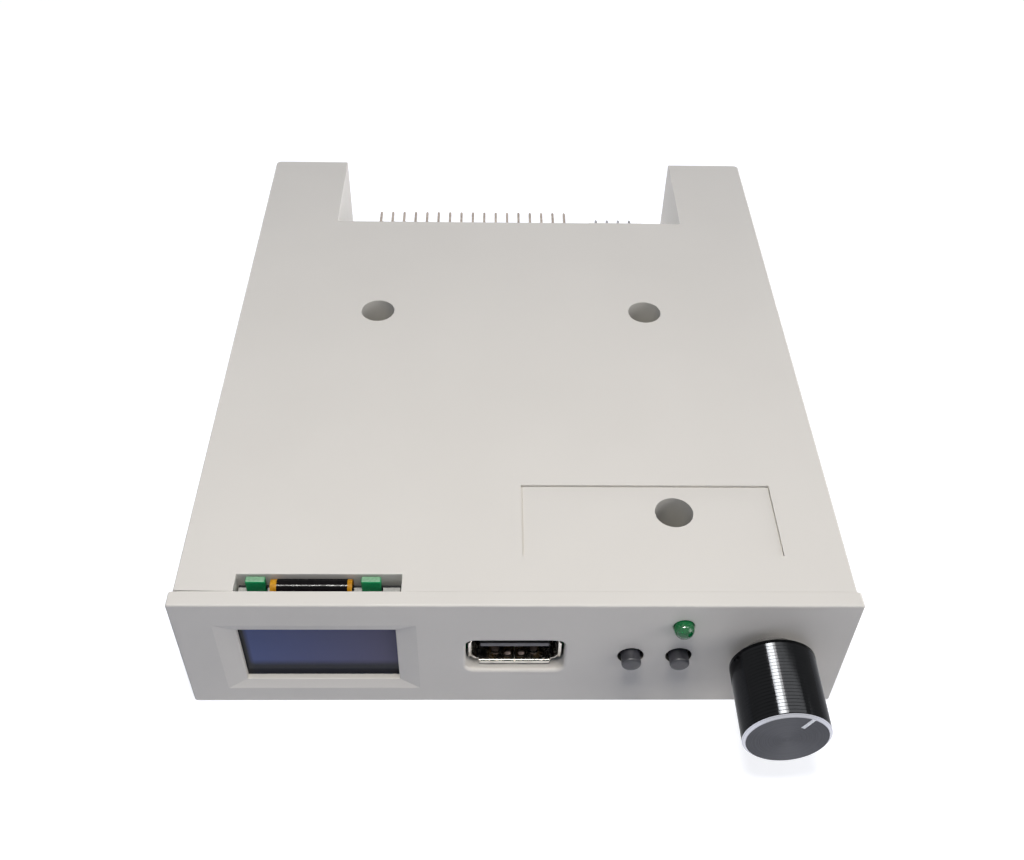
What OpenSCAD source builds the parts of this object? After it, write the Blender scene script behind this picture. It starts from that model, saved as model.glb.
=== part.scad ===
// Floppy drive emulator in a 3.5 inch drive case: a moulded cover and tray, a clip-on front with
// a small display, a memory stick port, two push buttons, a lamp and a push-turn knob, and a
// circuit board whose connectors stand in a bay between two rear arms. Millimetres.
// The origin is the middle of the underside, the front looks along -Y and the top along +Z.

/* [Case] */
// Width of the case shells
case_w = 100.3; // [98:0.1:106]
// Length from the front face to the rear ends of the arms
case_l = 118; // [112:0.5:140]
// Height of the case
case_h = 25.4; // [24.6:0.1:30]
// Thickness of the side walls
wall = 2; // [1.2:0.1:2.4]
// Thickness of the roof
roof_t = 2; // [1.2:0.1:2.6]
// Thickness of the floor
floor_t = 2; // [1.2:0.1:2.8]
// Height at which cover and tray meet
split_z = 12; // [11:0.1:14]
// Radius of the upright corners at the rear
corner_r = 1; // [0.4:0.1:1.8]
// Radius of the long edges
edge_r = 0.5; // [0.2:0.1:1]
// Gap between fixed pieces that slide together
fit_gap = 0.1; // [0.05:0.01:0.2]

/* [Rear bay] */
// Width of the bay between the two rear arms
bay_w = 69.7; // [66:0.1:74]
// Depth of the bay, from the arm ends to the rear wall of the cover
bay_l = 22.2; // [20:0.1:26]
// Length of the arms behind the tray's ledge
arm_l = 8; // [6:0.1:10]

/* [Front bezel] */
// How far the bezel stands out beyond the case on each side
bezel_overhang = 0.65; // [0.2:0.05:1.2]
// Depth of the bezel's rim
bezel_d = 2.55; // [2.2:0.05:3.2]
// Thickness of the bezel's plate
plate_t = 1.5; // [1.2:0.05:1.8]
// Width of the rim
rim_w = 1.5; // [1:0.1:1.9]
// Radius of the bezel's corners, seen from the front
bezel_r = 0.5; // [0.5:0.1:2]
// Rounding of the bezel's front edge
bezel_edge = 0.35; // [0.2:0.05:0.45]
// Length of the side clips behind the plate
clip_l = 10; // [8:0.1:12]
// Height of the side clips
clip_h = 6; // [4:0.1:6.4]
// Thickness of the side clips
clip_t = 1.4; // [1:0.1:1.6]
// How far a clip's barb stands out
clip_barb = 0.8; // [0.4:0.1:1.1]
// Height of the side clips' middle above the floor's underside
clip_z = 6; // [5.4:0.1:6.4]

/* [Cover details] */
// Diameter of the three screw wells
well_d = 6; // [5.6:0.1:7]
// Distance of the wells from the centre line
well_x = 24.8; // [23:0.1:26]
// Distance of the front well behind the front face
well_front = 18.1; // [17.6:0.1:20]
// Distance of the rear wells in front of the bay
well_bay = 28.6; // [26:0.1:32]
// Wall of the well tubes
well_wall = 1.3; // [0.9:0.1:1.6]
// Floor of the wells, under the screw heads
well_floor = 1.5; // [1:0.1:2]
// Width of the label recess
label_w = 39.65; // [34:0.05:44]
// Length of the label recess
label_l = 14.3; // [12:0.1:16]
// Distance of the label recess behind the front face
label_front = 9.3; // [8.5:0.1:10.5]
// Distance of the label recess from the right-hand side
label_side = 9.6; // [7:0.1:12]
// Depth of the label recess
label_d = 0.25; // [0.15:0.05:0.5]
// Width of the slot over the display
slot_w = 24.45; // [23.5:0.05:26]
// Length of the slot behind the bezel
slot_l = 3.2; // [3.1:0.05:4]

/* [Screws] */
// Shank diameter of the case screws
screw_d = 2.5; // [2.2:0.1:2.9]
// Length of the case screws under the head
screw_l = 9; // [7:0.1:9.4]
// Head diameter
head_d = 5.2; // [4.6:0.1:5.4]
// Head height
head_h = 1.9; // [1.4:0.1:2.4]
// Hole that a screw passes through
clear_d = 3.2; // [3:0.1:3.6]
// Diameter of the posts under the board
post_d = 7; // [6:0.1:8]

/* [Side mounting holes] */
// Diameter of the tapped holes
side_hole_d = 2.5; // [2.2:0.1:3]
// Height of the holes above the underside
side_hole_z = 5; // [4.8:0.1:5.2]
// Distance of the front holes behind the bezel
side_hole_set = 21; // [19:0.1:24]
// Distance of the rear holes in front of the arm ends
side_hole_end = 4.45; // [4.2:0.05:8]
// Depth of the holes
side_hole_l = 5; // [4:0.1:6]
// Diameter of the bosses round the holes
side_boss_d = 5.6; // [5:0.1:5.7]

/* [Circuit board] */
// Height of the board's underside
board_z = 8; // [7.9:0.1:8.6]
// Thickness of the board
board_t = 1.6; // [1.2:0.1:1.8]
// Gap between the board and the side walls
board_side = 3.2; // [2.6:0.1:5]
// Gap between the board's tail and the rear arms
tail_side = 2.8; // [1.5:0.1:4]
// Distance of the board's shoulders behind the front face
board_set = 14.5; // [13.6:0.1:15.4]
// Distance of the board's front tongue behind the front face
tongue_set = 4.5; // [4:0.1:5.5]
// Gap between the display board and the front tongue
tongue_gap = 4.8; // [4:0.1:7]
// Gap between the front tongue and the encoder
encoder_gap = 1.8; // [1:0.1:2.6]
// Distance of the tail's end in front of the arm ends
tail_end = 8.8; // [8:0.1:10]
// Clearance round leads in the board
lead_gap = 0.15; // [0.05:0.01:0.25]

/* [Display] */
// Distance of the window's middle from the left-hand side
window_side = 20.3; // [19.2:0.05:21.2]
// Distance of the window's middle below the top
window_drop = 13.3; // [12.8:0.1:13.6]
// Width of the clear window
window_w = 23.7; // [22:0.1:24.5]
// Height of the clear window
window_h = 13.1; // [12:0.1:13.4]
// Width of the slanted border at the left and right
border_w = 3.15; // [1.5:0.05:4]
// Width of the slanted border above and below
border_h = 1.8; // [0.8:0.05:2.4]
// Depth of the slanted border
border_d = 0.57; // [0.3:0.01:0.9]
// Width of the display glass
glass_w = 26.7; // [25.5:0.1:28]
// Height of the display glass
glass_h = 19.2; // [18:0.1:19.3]
// Thickness of the display glass
glass_t = 1.45; // [1.2:0.05:1.6]
// How far the glass reaches below the window
glass_low = 1.5; // [1.2:0.1:1.6]
// Thickness of the foam tape behind the glass
tape_t = 1.8; // [1.5:0.05:2]
// Thickness of the display board
display_t = 0.4; // [0.3:0.05:0.5]
// Distance of the display board's top edge below the top
display_drop = 2; // [1.8:0.1:2.3]
// Gap under the display board
display_lift = 0.5; // [0.3:0.1:1.2]
// Width of the display's folded flex
flex_w = 12; // [10:0.1:12.2]
// How far the flex sits to the left of the window's middle
flex_shift = 0.35; // [0:0.05:0.5]
// Thickness of the flex
flex_t = 0.12; // [0.1:0.01:0.2]
// How far the middle of the flex's fold lies above the board's edge
flex_rise = 0.7; // [0.3:0.1:0.7]
// Length of the flex glued to the glass
flex_tail = 1.5; // [1:0.1:2]
// Width of the clips on the display board's edge
edge_clip_w = 2.9; // [2.2:0.1:3.2]
// Distance between the middles of the two edge clips
edge_clip_pitch = 17; // [16.6:0.1:18.5]
// Depth to which the edge clips grip the board
edge_clip_grip = 2; // [1.5:0.1:2.2]
// Wall of the edge clips
edge_clip_t = 0.3; // [0.25:0.01:0.35]
// How far the edge clips stand above the board's edge
edge_clip_rise = 1.8; // [1.2:0.1:1.9]

/* [Port] */
// Sideways place of the port
port_x = -0.1; // [-1:0.1:1]
// Width of the port's metal shell
port_w = 13.1; // [12.9:0.1:13.4]
// Height of the port's metal shell
port_h = 5.8; // [5.7:0.1:6.2]
// Length of the port's metal shell
port_l = 14; // [13:0.1:15]
// Thickness of the shell's sheet
sheet_t = 0.3; // [0.2:0.05:0.4]
// Distance of the port behind the front face
port_set = 1.7; // [1.55:0.05:2]
// Length of the port's flared lips
lip_l = 0.8; // [0.5:0.05:0.8]
// Angle of the flared lips
lip_angle = 40; // [30:1:45]
// Width of the mouth in the bezel
mouth_w = 15.1; // [14.8:0.1:16]
// Height of the mouth in the bezel
mouth_h = 7.75; // [7.5:0.05:8.4]
// Corner radius of the mouth
mouth_r = 1.4; // [0.8:0.1:2]
// Width of the port's tongue
port_tongue_w = 10.6; // [9.8:0.1:11.2]
// Thickness of the port's tongue
port_tongue_t = 1.84; // [1.6:0.02:2]
// Distance of the tongue behind the shell's front edge
port_tongue_set = 0.6; // [0.4:0.1:1.2]
// Width of a contact strip
strip_w = 1; // [0.8:0.05:1.2]
// Thickness of a contact strip
strip_t = 0.25; // [0.15:0.05:0.3]

/* [Buttons] */
// Distance of the left button from the right-hand side
button_side = 32.6; // [32:0.05:33]
// Distance between the two buttons
button_pitch = 7.35; // [7:0.05:7.6]
// Height of the buttons above the board
button_rise = 3.05; // [2.8:0.05:3.4]
// Diameter of the buttons
button_d = 3; // [2.6:0.1:3.2]
// How far the buttons stand out of the front
button_out = 1.75; // [1.2:0.05:2.4]
// Travel of the buttons
button_travel = 0.25; // [0.15:0.05:0.35]
// Gap round the buttons in the bezel
button_gap = 0.5; // [0.2:0.05:0.6]
// Running gap round the buttons in the switches
stem_gap = 0.06; // [0.03:0.01:0.1]
// Width of a switch body
switch_w = 6; // [5.6:0.1:6.4]
// Length of a switch body, front to rear
switch_l = 4; // [3.8:0.1:4.2]
// Distance of the switch bodies behind the front face
switch_set = 6.5; // [6:0.1:6.8]
// Front wall of a switch body
switch_wall = 0.8; // [0.6:0.1:1]

/* [Lamp] */
// Distance of the lamp from the right-hand side
lamp_side = 25.35; // [24.6:0.05:27]
// Distance of the lamp's axis below the top
lamp_drop = 5.15; // [4.6:0.05:5.6]
// Diameter of the lamp
lamp_d = 3; // [2.8:0.1:3.2]
// How far the lamp stands out of the front
lamp_out = 2; // [1.6:0.1:2.6]
// Height of the lamp's flange beyond its side
lamp_flange = 0.4; // [0.2:0.05:0.6]
// Thickness of the flange
lamp_flange_t = 1; // [0.6:0.1:1.4]
// Distance of the lamp's leads behind the front face where they go down
lead_set = 12.1; // [11.8:0.1:12.4]
// Diameter of the leads
lead_d = 0.5; // [0.4:0.05:0.6]
// Distance between the two leads
lead_pitch = 2.54; // [2:0.01:2.6]

/* [Encoder] */
// Distance of the knob's axis from the right-hand side
knob_side = 11.35; // [10.8:0.05:11.8]
// Height of the knob's axis
knob_z = 13.5; // [13.3:0.1:14.4]
// Width of the encoder
encoder_w = 12; // [11.4:0.1:12.4]
// Height of the encoder
encoder_h = 12.5; // [11.6:0.1:12.8]
// Thickness of the encoder's front plate
encoder_plate = 1; // [0.8:0.05:1.4]
// Depth of the encoder's plastic cup
cup_l = 5.5; // [5.2:0.1:6.5]
// Diameter of the threaded bush
bush_d = 7; // [6.8:0.1:7.4]
// Length of the bush in front of the encoder's plate
bush_l = 6.5; // [5.5:0.1:6.6]
// Diameter of the shaft
shaft_d = 6; // [5:0.05:6]
// Distance of the shaft's flat from its axis
shaft_flat = 1.5; // [1.2:0.1:2]
// Running gap of the shaft in the bush, and of the rotor in the cup
run_gap = 0.05; // [0.02:0.01:0.1]
// Diameter of the rotor
rotor_d = 10; // [9:0.1:10.2]
// Thickness of the rotor
rotor_t = 2.1; // [1.6:0.1:2.3]
// Travel of the knob when pressed
press_travel = 0.5; // [0.3:0.05:0.5]
// Diameter of the ring nut
nut_d = 8.2; // [7.9:0.1:8.8]
// Thickness of the nut
nut_t = 1.2; // [0.8:0.1:1.6]
// Diameter of the washer
washer_d = 10.4; // [9.8:0.1:10.6]
// Thickness of the washer
washer_t = 0.5; // [0.3:0.05:0.6]

/* [Knob] */
// Diameter of the knob
knob_d = 13; // [12.8:0.1:14.5]
// Length of the knob
knob_l = 12.85; // [12.4:0.05:16]
// Gap between knob and front face
knob_gap = 1.9; // [1.6:0.05:2.2]
// Width of the cut on the knob's front edge
knob_cut = 0.5; // [0.3:0.05:0.8]
// Length of that cut along the knob
knob_cut_l = 0.37; // [0.2:0.01:0.6]
// Wall of the knob's metal shell at its rear
knob_skirt = 0.9; // [0.7:0.05:1]
// Depth of the hollow at the knob's rear
skirt_l = 1.4; // [1:0.1:1.8]
// Wall of the knob's metal shell round its core
knob_wall = 1.5; // [1.2:0.1:1.8]
// Thickness of the knob's front
knob_face = 1.5; // [1.1:0.1:2]
// Angle of the pointer, clockwise from the top
pointer_angle = 28; // [0:1:359]
// Width of the pointer
pointer_w = 0.6; // [0.4:0.05:1]
// Distance of the pointer's inner end from the axis
pointer_in = 3.4; // [2:0.1:4.4]
// Depth of the pointer's groove
pointer_d = 0.2; // [0.1:0.05:0.4]

/* [Rear connectors] */
// Columns of the drive connector
header_columns = 17; // [10:1:17]
// Distance between pins
pin_pitch = 2.54; // [2.4:0.01:2.6]
// Width of a square pin
pin_w = 0.64; // [0.5:0.02:0.7]
// Sideways place of the drive connector's middle
header_x = -7.75; // [-9:0.05:-7]
// Distance of the pin tips in front of the arm ends
tip_inset = 1.35; // [0.6:0.05:2]
// Free length of the pins
pin_out = 6; // [5.6:0.1:6.4]
// Sideways place of the power connector's middle
power_x = 23.65; // [23:0.05:24.6]
// Distance between power pins
power_pitch = 2.5; // [2.4:0.05:2.6]
// Height of the power pins above the board
power_rise = 2; // [1.8:0.1:2.4]
// Width of the power connector's block
power_w = 12.4; // [11.6:0.1:13]
// Length of the power connector's block
power_l = 4; // [3.4:0.1:4.2]
// Height of the power connector's block
power_h = 5.6; // [5:0.1:6]
// Columns of the jumper block
jumper_columns = 6; // [3:1:7]
// Sideways place of the jumper block's middle
jumper_x = 20; // [14:0.5:22]
// Height of the jumper pins above the board
jumper_h = 8.5; // [7.6:0.1:9]
// Distance of the jumper block's middle behind the cover's rear wall
jumper_set = 4.4; // [4:0.1:4.8]

/* [Board components] */
// Side of the processor's square body
chip_w = 10; // [9:0.1:12]
// Height of the processor's body
chip_h = 1.4; // [1:0.1:1.8]
// Legs on each side of the processor
chip_legs = 16; // [8:1:16]
// Diameter of the two storage capacitors
cap_d = 6.3; // [5:0.1:8]
// Height of the two storage capacitors
cap_h = 5.4; // [4.5:0.1:7]
// Diameter of a cable wire
wire_d = 1.2; // [0.9:0.05:1.25]
// Distance between the wires of a cable
wire_pitch = 1.27; // [1.26:0.01:1.4]
// Inner bend of a wire, at its middle line
wire_bend = 2; // [1.6:0.1:2.2]

/* [Hidden] */
$fn = 48;

shell_colour = [0.80, 0.78, 0.74];
board_colour = [0.05, 0.33, 0.17];
black_colour = [0.08, 0.08, 0.09];
metal_colour = [0.78, 0.78, 0.80];
gold_colour = [0.83, 0.68, 0.34];
green_colour = [0.05, 0.48, 0.25];

front_y = -case_l / 2;
rear_y = case_l / 2;
shell_front = front_y + bezel_d + fit_gap;
bay_y = rear_y - bay_l;
ledge_y = rear_y - arm_l;
inner_w = case_w - 2 * wall;
tail_w = bay_w - 2 * tail_side;
board_top = board_z + board_t;
roof_z = case_h - roof_t;
beyond = case_l;
cut_over = 1;

well_rear = case_l - bay_l - well_bay;
post_places = [[well_x, well_front], [-well_x, well_rear], [well_x, well_rear]];
peg_place = [-well_x, well_front];
label_x = case_w / 2 - label_side - label_w / 2;
side_hole_places = [bezel_d + side_hole_set, case_l - side_hole_end];

bezel_w = case_w + 2 * bezel_overhang;
window_x = window_side - case_w / 2;
window_z = case_h - window_drop;
glass_bottom = window_z - window_h / 2 - glass_low;
glass_back = plate_t + glass_t;
display_near = glass_back + tape_t;
display_far = display_near + display_t;
display_top = case_h - display_drop;
display_bottom = floor_t + display_lift;
slot_shift = 0.65;
slot_x = window_x + slot_shift;
display_w = slot_w - 6 * fit_gap;
flex_near = glass_back + flex_t / 2;
flex_r = (display_far - glass_back) / 2 + fit_gap;
flex_z = display_top + flex_rise;
flex_x = window_x - flex_shift;

port_z = board_top + port_h / 2;
port_back = port_set + port_l;
port_inner_h = port_h - 2 * sheet_t;
port_tongue_z = port_z;
strip_places = [-3.5, -1, 1, 3.5];
port_leg_w = 0.6;
port_leg_inset = 1;
port_tab_l = 1.6;
port_tab_inset = 4;
port_open_l = 2.4;

button_x = case_w / 2 - button_side;
button_z = board_top + button_rise;
switch_over = 2.9;
switch_h = button_rise + switch_over;
stem_flange_w = 0.6;
stem_flange_d = button_d + 2 * stem_flange_w;
stem_flange_t = 0.8;
cavity_gap = 0.3;
dome_t = 0.1;
dome_rise = 0.4;
slack = 0.1;
switch_cavity_l = stem_flange_t + button_travel + dome_rise + dome_t + slack;

lamp_x = case_w / 2 - lamp_side;
lamp_z = case_h - lamp_drop;

knob_x = case_w / 2 - knob_side;
encoder_near = plate_t + washer_t;
encoder_back = encoder_near + encoder_plate + cup_l;
collar_w = 0.4;
collar_d = shaft_d + 2 * collar_w;
collar_t = 0.5;
rotor_gap = press_travel + slack;
rotor_near = encoder_near + encoder_plate + rotor_gap;
key_d = 5;
key_flat = 2;
shaft_tip_d = 2;
shaft_tip_l = 0.5;
cavity_l = rotor_gap + rotor_t + 2 * slack;
dome_bore_d = 5.4;
cup_floor = 0.8;
terminal_l = 2.5;
terminal_w = 0.8;
terminal_t = 0.3;
terminal_rows = [[3, 2.5, -1], [2, 5, 1]];
terminal_inset = 0.8;
terminal_row = encoder_h / 2 - terminal_inset;

bush_front = encoder_near - bush_l;
knob_back = -knob_gap;
knob_front = knob_back - knob_l;
skirt_depth = knob_back - skirt_l;
core_r = knob_d / 2 - knob_wall;
core_front = knob_front + knob_face;
bush_bore_r = bush_d / 2 + cavity_gap;
bush_bore_end = bush_front - press_travel - cavity_gap;
shaft_front = core_front + fit_gap;
press_gap = 0.02;

block_w = header_columns * pin_pitch;
tip_y = rear_y - tip_inset;
block_back = tip_y - pin_out;
block_front = block_back - pin_pitch;
low_row = board_top + pin_pitch / 2;
leg_set = 1.6;
leg_below = 1.4;
switch_leg_w = 0.7;
switch_leg_t = 0.3;
switch_leg_pitch = 4.5;
power_pins = 4;

board_w = inner_w - 2 * board_side;
tongue_left = slot_x + display_w / 2 + tongue_gap;
tongue_right = knob_x - encoder_w / 2 - encoder_gap;
chip_place = [4, 0];
crystal_place = [4, -14];
rear_parts_set = 14;
rear_parts_y = bay_y - rear_parts_set;
driver_places = [-14, -4];
regulator_x = 18;
capacitor_edge = 6.45;
capacitor_pitch = 8.5;
capacitor_places = [board_w / 2 - capacitor_edge - capacitor_pitch, board_w / 2 - capacitor_edge];
jumper_y = bay_y + jumper_set;

// Two-dimensional rectangle with round corners, centred
module rounded_rect(w, h, r) {
    square([w - 2 * r, h], center = true);
    square([w, h - 2 * r], center = true);
    for (sx = [-1, 1], sy = [-1, 1])
        translate([sx * (w / 2 - r), sy * (h / 2 - r)])
            circle(r);
}

// Extrudes an outline drawn in X and Z from one distance behind the front face to another
module front_extrude(near, far) {
    translate([0, front_y + far, 0])
        rotate([90, 0, 0])
            linear_extrude(far - near)
                children();
}

// Extrudes an outline drawn in Y and Z between two places along X
module side_extrude(left, right) {
    translate([left, 0, 0])
        rotate([90, 0, 90])
            linear_extrude(right - left)
                children();
}

// Puts a shape made along Z on an axis that runs rearward from the front face
module on_front_axis(x, z) {
    translate([x, front_y, z])
        rotate([-90, 0, 0])
            children();
}

// Box between two corners, with Y counted behind the front face
module front_box(low, high) {
    translate([low[0], front_y + low[1], low[2]])
        cube(high - low);
}

// Outline of a shell seen from above, set in from its outside, with the bay cut out from bay_from
module shell_plan(inset, bay_from, front) {
    r = max(corner_r - inset, edge_r / 2);
    l = rear_y - inset - front;
    difference() {
        union() {
            translate([0, front + l / 2])
                rounded_rect(case_w - 2 * inset, l, r);
            translate([-case_w / 2 + inset, front])
                square([case_w - 2 * inset, l / 2]);
        }
        translate([-bay_w / 2 - inset, bay_from - inset])
            square([bay_w + 2 * inset, beyond]);
    }
}

// Upright section of the case across its width, with its top or bottom edges rounded
module crown(w, low, high) {
    translate([0, (low + high) / 2])
        rounded_rect(w, high - low, edge_r);
}

// Wire that runs along Z and turns in the XZ plane by each angle in turn
module bent_wire(d, r, runs, turns, i = 0) {
    cylinder(d = d, h = runs[i]);
    if (i < len(turns))
        translate([0, 0, runs[i]]) {
            a = abs(turns[i]);
            mirror([turns[i] < 0 ? 1 : 0, 0, 0])
                translate([r, 0, 0])
                    rotate([90, 0, 180])
                        rotate_extrude(angle = a)
                            translate([r, 0])
                                circle(d = d);
            translate([sign(turns[i]) * r * (1 - cos(a)), 0, r * sin(a)])
                rotate([0, turns[i], 0])
                    bent_wire(d, r, runs, turns, i + 1);
        }
}

// Wire that leaves a place behind the front face rearward; positive turns go up
module wire_from(x, set, z, d, r, runs, turns) {
    translate([x, front_y + set, z])
        rotate([-90, 0, 0])
            rotate([0, 0, -90])
                bent_wire(d, r, runs, turns);
}

// Places of count copies at a pitch along X, centred
module row(count, pitch) {
    for (i = [0 : count - 1])
        translate([(i - (count - 1) / 2) * pitch, 0, 0])
            children();
}

// Solid tube of one screw well, from the board to the roof
module well_tube() {
    translate([0, 0, board_top])
        cylinder(d = well_d + 2 * well_wall, h = roof_z - board_top + roof_t / 2);
}

// Bore of one screw well with its screw hole
module well_bore() {
    translate([0, 0, board_top + well_floor])
        cylinder(d = well_d, h = case_h);
    translate([0, 0, board_top - cut_over])
        cylinder(d = clear_d, h = case_h);
}

module top_cover() {
    color(shell_colour)
        difference() {
            union() {
                cover_walls();
                cover_curtain();
                for (p = post_places)
                    translate([p[0], front_y + p[1], 0])
                        well_tube();
            }
            for (p = post_places)
                translate([p[0], front_y + p[1], 0])
                    well_bore();
            front_box([slot_x - slot_w / 2, bezel_d - cut_over, roof_z - cut_over],
                      [slot_x + slot_w / 2, bezel_d + slot_l, case_h + cut_over]);
            front_box([label_x - label_w / 2, label_front, case_h - label_d],
                      [label_x + label_w / 2, label_front + label_l, case_h + cut_over]);
            front_box([window_x - glass_w / 2 - fit_gap, 0, split_z],
                      [window_x + glass_w / 2 + fit_gap, glass_back + fit_gap,
                       glass_bottom + glass_h + fit_gap]);
        }
}

// Roof, outer walls and arms of the cover as one hollow form
module cover_walls() {
    difference() {
        intersection() {
            translate([0, 0, split_z])
                linear_extrude(case_h - split_z)
                    shell_plan(0, bay_y, shell_front);
            front_extrude(0, case_l)
                crown(case_w, 0, case_h);
            side_extrude(-case_w / 2, case_w / 2)
                translate([rear_y - case_l, 0])
                    crown(2 * case_l, 0, case_h);
        }
        translate([0, 0, split_z - cut_over])
            linear_extrude(roof_z - split_z + cut_over)
                shell_plan(wall, bay_y, shell_front - cut_over);
    }
}

// Part of the cover's rear wall that reaches down close to the board
module cover_curtain() {
    translate([-tail_w / 2, bay_y - wall, board_top + lead_gap])
        cube([tail_w, wall, split_z - board_top]);
}

module bottom_tray() {
    color(shell_colour)
        difference() {
            union() {
                tray_walls();
                tray_bay_walls();
                for (p = post_places)
                    translate([p[0], front_y + p[1], 0])
                        cylinder(d = post_d, h = board_z);
                translate([peg_place[0], front_y + peg_place[1], 0])
                    locating_peg();
                for (flip = [0, 1], y = side_hole_places)
                    mirror([flip, 0, 0])
                        translate([case_w / 2, front_y + y, 0])
                            side_boss();
            }
            translate([-bay_w / 2, bay_y, board_z])
                cube([bay_w, beyond, beyond]);
            for (p = post_places)
                translate([p[0], front_y + p[1], board_top + well_floor - screw_l - 2 * fit_gap])
                    cylinder(d = screw_d + fit_gap, h = screw_l);
            for (flip = [0, 1], y = side_hole_places)
                mirror([flip, 0, 0])
                    translate([case_w / 2 - side_hole_l, front_y + y, side_hole_z])
                        rotate([0, 90, 0])
                            cylinder(d = side_hole_d, h = side_hole_l + cut_over);
            for (flip = [0, 1])
                mirror([flip, 0, 0])
                    clip_window();
        }
}

// Floor and outer walls of the tray as one hollow form
module tray_walls() {
    difference() {
        intersection() {
            linear_extrude(split_z)
                shell_plan(0, ledge_y, shell_front);
            front_extrude(0, case_l)
                crown(case_w, 0, case_h);
            side_extrude(-case_w / 2, case_w / 2)
                translate([rear_y - case_l, 0])
                    crown(2 * case_l, 0, case_h);
        }
        translate([0, 0, floor_t])
            linear_extrude(case_h)
                shell_plan(wall, ledge_y, shell_front - cut_over);
    }
}

// Walls round the connector bay: the arms' inner walls and the partition under the board
module tray_bay_walls() {
    shoulder_w = tail_side - fit_gap;
    for (side = [0, 1])
        mirror([side, 0, 0]) {
            translate([bay_w / 2, bay_y - wall, 0])
                cube([wall, ledge_y - bay_y + wall, split_z]);
            translate([tail_w / 2 + fit_gap, bay_y - wall, 0])
                cube([shoulder_w, wall, split_z]);
        }
    translate([-bay_w / 2, bay_y - wall, 0])
        cube([bay_w, wall, board_z]);
}

// Post with a pin that locates the board where no screw holds it
module locating_peg() {
    cylinder(d = post_d, h = board_z);
    cylinder(d = clear_d - 2 * fit_gap, h = board_top);
}

// Boss for a side mounting screw, pointing inward from the right-hand wall
module side_boss() {
    boss_end = 1;
    l = side_hole_l + boss_end;
    translate([-l, 0, side_hole_z])
        rotate([0, 90, 0])
            cylinder(d = side_boss_d, h = l - wall / 2);
    translate([-l, -side_boss_d / 2, floor_t / 2])
        cube([l - wall / 2, side_boss_d, side_hole_z - floor_t / 2]);
}

// Hole in the right-hand wall that a bezel clip's barb snaps into
module clip_window() {
    barb_l = 2 * clip_barb;
    front_box([inner_w / 2 - cut_over, plate_t + clip_l - barb_l - fit_gap, clip_z - clip_h / 2 - fit_gap],
              [case_w / 2 + cut_over, plate_t + clip_l + 2 * fit_gap, clip_z + clip_h / 2 + fit_gap]);
}

module front_bezel() {
    color(shell_colour)
        difference() {
            union() {
                difference() {
                    bezel_block();
                    front_box([-bezel_w / 2 + rim_w, plate_t, rim_w],
                              [bezel_w / 2 - rim_w, bezel_d + cut_over, case_h - rim_w]);
                }
                bezel_clips();
                bezel_tongues();
                glass_seat();
            }
            window_cut();
            front_extrude(-cut_over, bezel_d + cut_over)
                translate([port_x, port_z])
                    rounded_rect(mouth_w, mouth_h, mouth_r);
            for (x = [button_x, button_x + button_pitch])
                on_front_axis(x, button_z)
                    translate([0, 0, -cut_over])
                        cylinder(d = button_d + 2 * button_gap, h = bezel_d + cut_over);
            on_front_axis(lamp_x, lamp_z)
                translate([0, 0, -cut_over])
                    cylinder(d = lamp_d + 2 * fit_gap, h = bezel_d + cut_over);
            on_front_axis(knob_x, knob_z)
                translate([0, 0, -cut_over])
                    cylinder(d = bush_d + 2 * fit_gap, h = bezel_d + cut_over);
        }
}

// Outer form of the bezel with its front edge rounded in small steps
module bezel_block() {
    steps = 4;
    hull() {
        front_extrude(bezel_edge, bezel_d)
            translate([0, case_h / 2])
                rounded_rect(bezel_w, case_h, bezel_r, $fn = 32);
        for (i = [1 : steps]) {
            a = 90 * i / steps;
            inset = bezel_edge * (1 - cos(a));
            front_extrude(bezel_edge * (1 - sin(a)), bezel_edge)
                translate([0, case_h / 2])
                    rounded_rect(bezel_w - 2 * inset, case_h - 2 * inset, bezel_r - inset, $fn = 32);
        }
    }
}

// Display window with its slanted border
module window_cut() {
    thin = 0.01;
    front_extrude(-cut_over, bezel_d + cut_over)
        translate([window_x, window_z])
            square([window_w, window_h], center = true);
    hull() {
        front_extrude(border_d - thin, border_d)
            translate([window_x, window_z])
                square([window_w, window_h], center = true);
        front_extrude(-thin, 0)
            translate([window_x, window_z])
                square([window_w + 2 * border_w, window_h + 2 * border_h], center = true);
    }
}

// Spring clips at both sides with barbs that snap into the tray
module bezel_clips() {
    barb_l = 2 * clip_barb;
    outside = inner_w / 2 - fit_gap;
    for (side = [0, 1])
        mirror([side, 0, 0])
            translate([0, front_y, clip_z - clip_h / 2])
                linear_extrude(clip_h)
                    polygon([
                        [outside - clip_t, plate_t - fit_gap],
                        [outside, plate_t - fit_gap],
                        [outside, plate_t + clip_l - barb_l],
                        [outside + clip_barb, plate_t + clip_l - barb_l],
                        [outside, plate_t + clip_l],
                        [outside - clip_t, plate_t + clip_l]
                    ]);
}

// Two tongues that slide under the cover's roof
module bezel_tongues() {
    tongue_w = 8;
    tongue_t = 1.2;
    tongue_l = 4.5;
    for (x = [port_x, knob_x])
        front_box([x - tongue_w / 2, plate_t - fit_gap, roof_z - fit_gap - tongue_t],
                  [x + tongue_w / 2, plate_t + tongue_l, roof_z - fit_gap]);
}

// Low ribs behind the plate that hold the display glass at its sides and bottom
module glass_seat() {
    rib_t = 1;
    out_w = glass_w / 2 + fit_gap;
    rib_z = glass_bottom - fit_gap;
    for (side = [-1, 1])
        front_box([window_x + side * (out_w + rib_t / 2) - rib_t / 2, plate_t - fit_gap, rib_z - rib_t],
                  [window_x + side * (out_w + rib_t / 2) + rib_t / 2, bezel_d, glass_bottom + glass_h / 2]);
    front_box([window_x - out_w, plate_t - fit_gap, rib_z - rib_t], [window_x + out_w, bezel_d, rib_z]);
}

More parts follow.
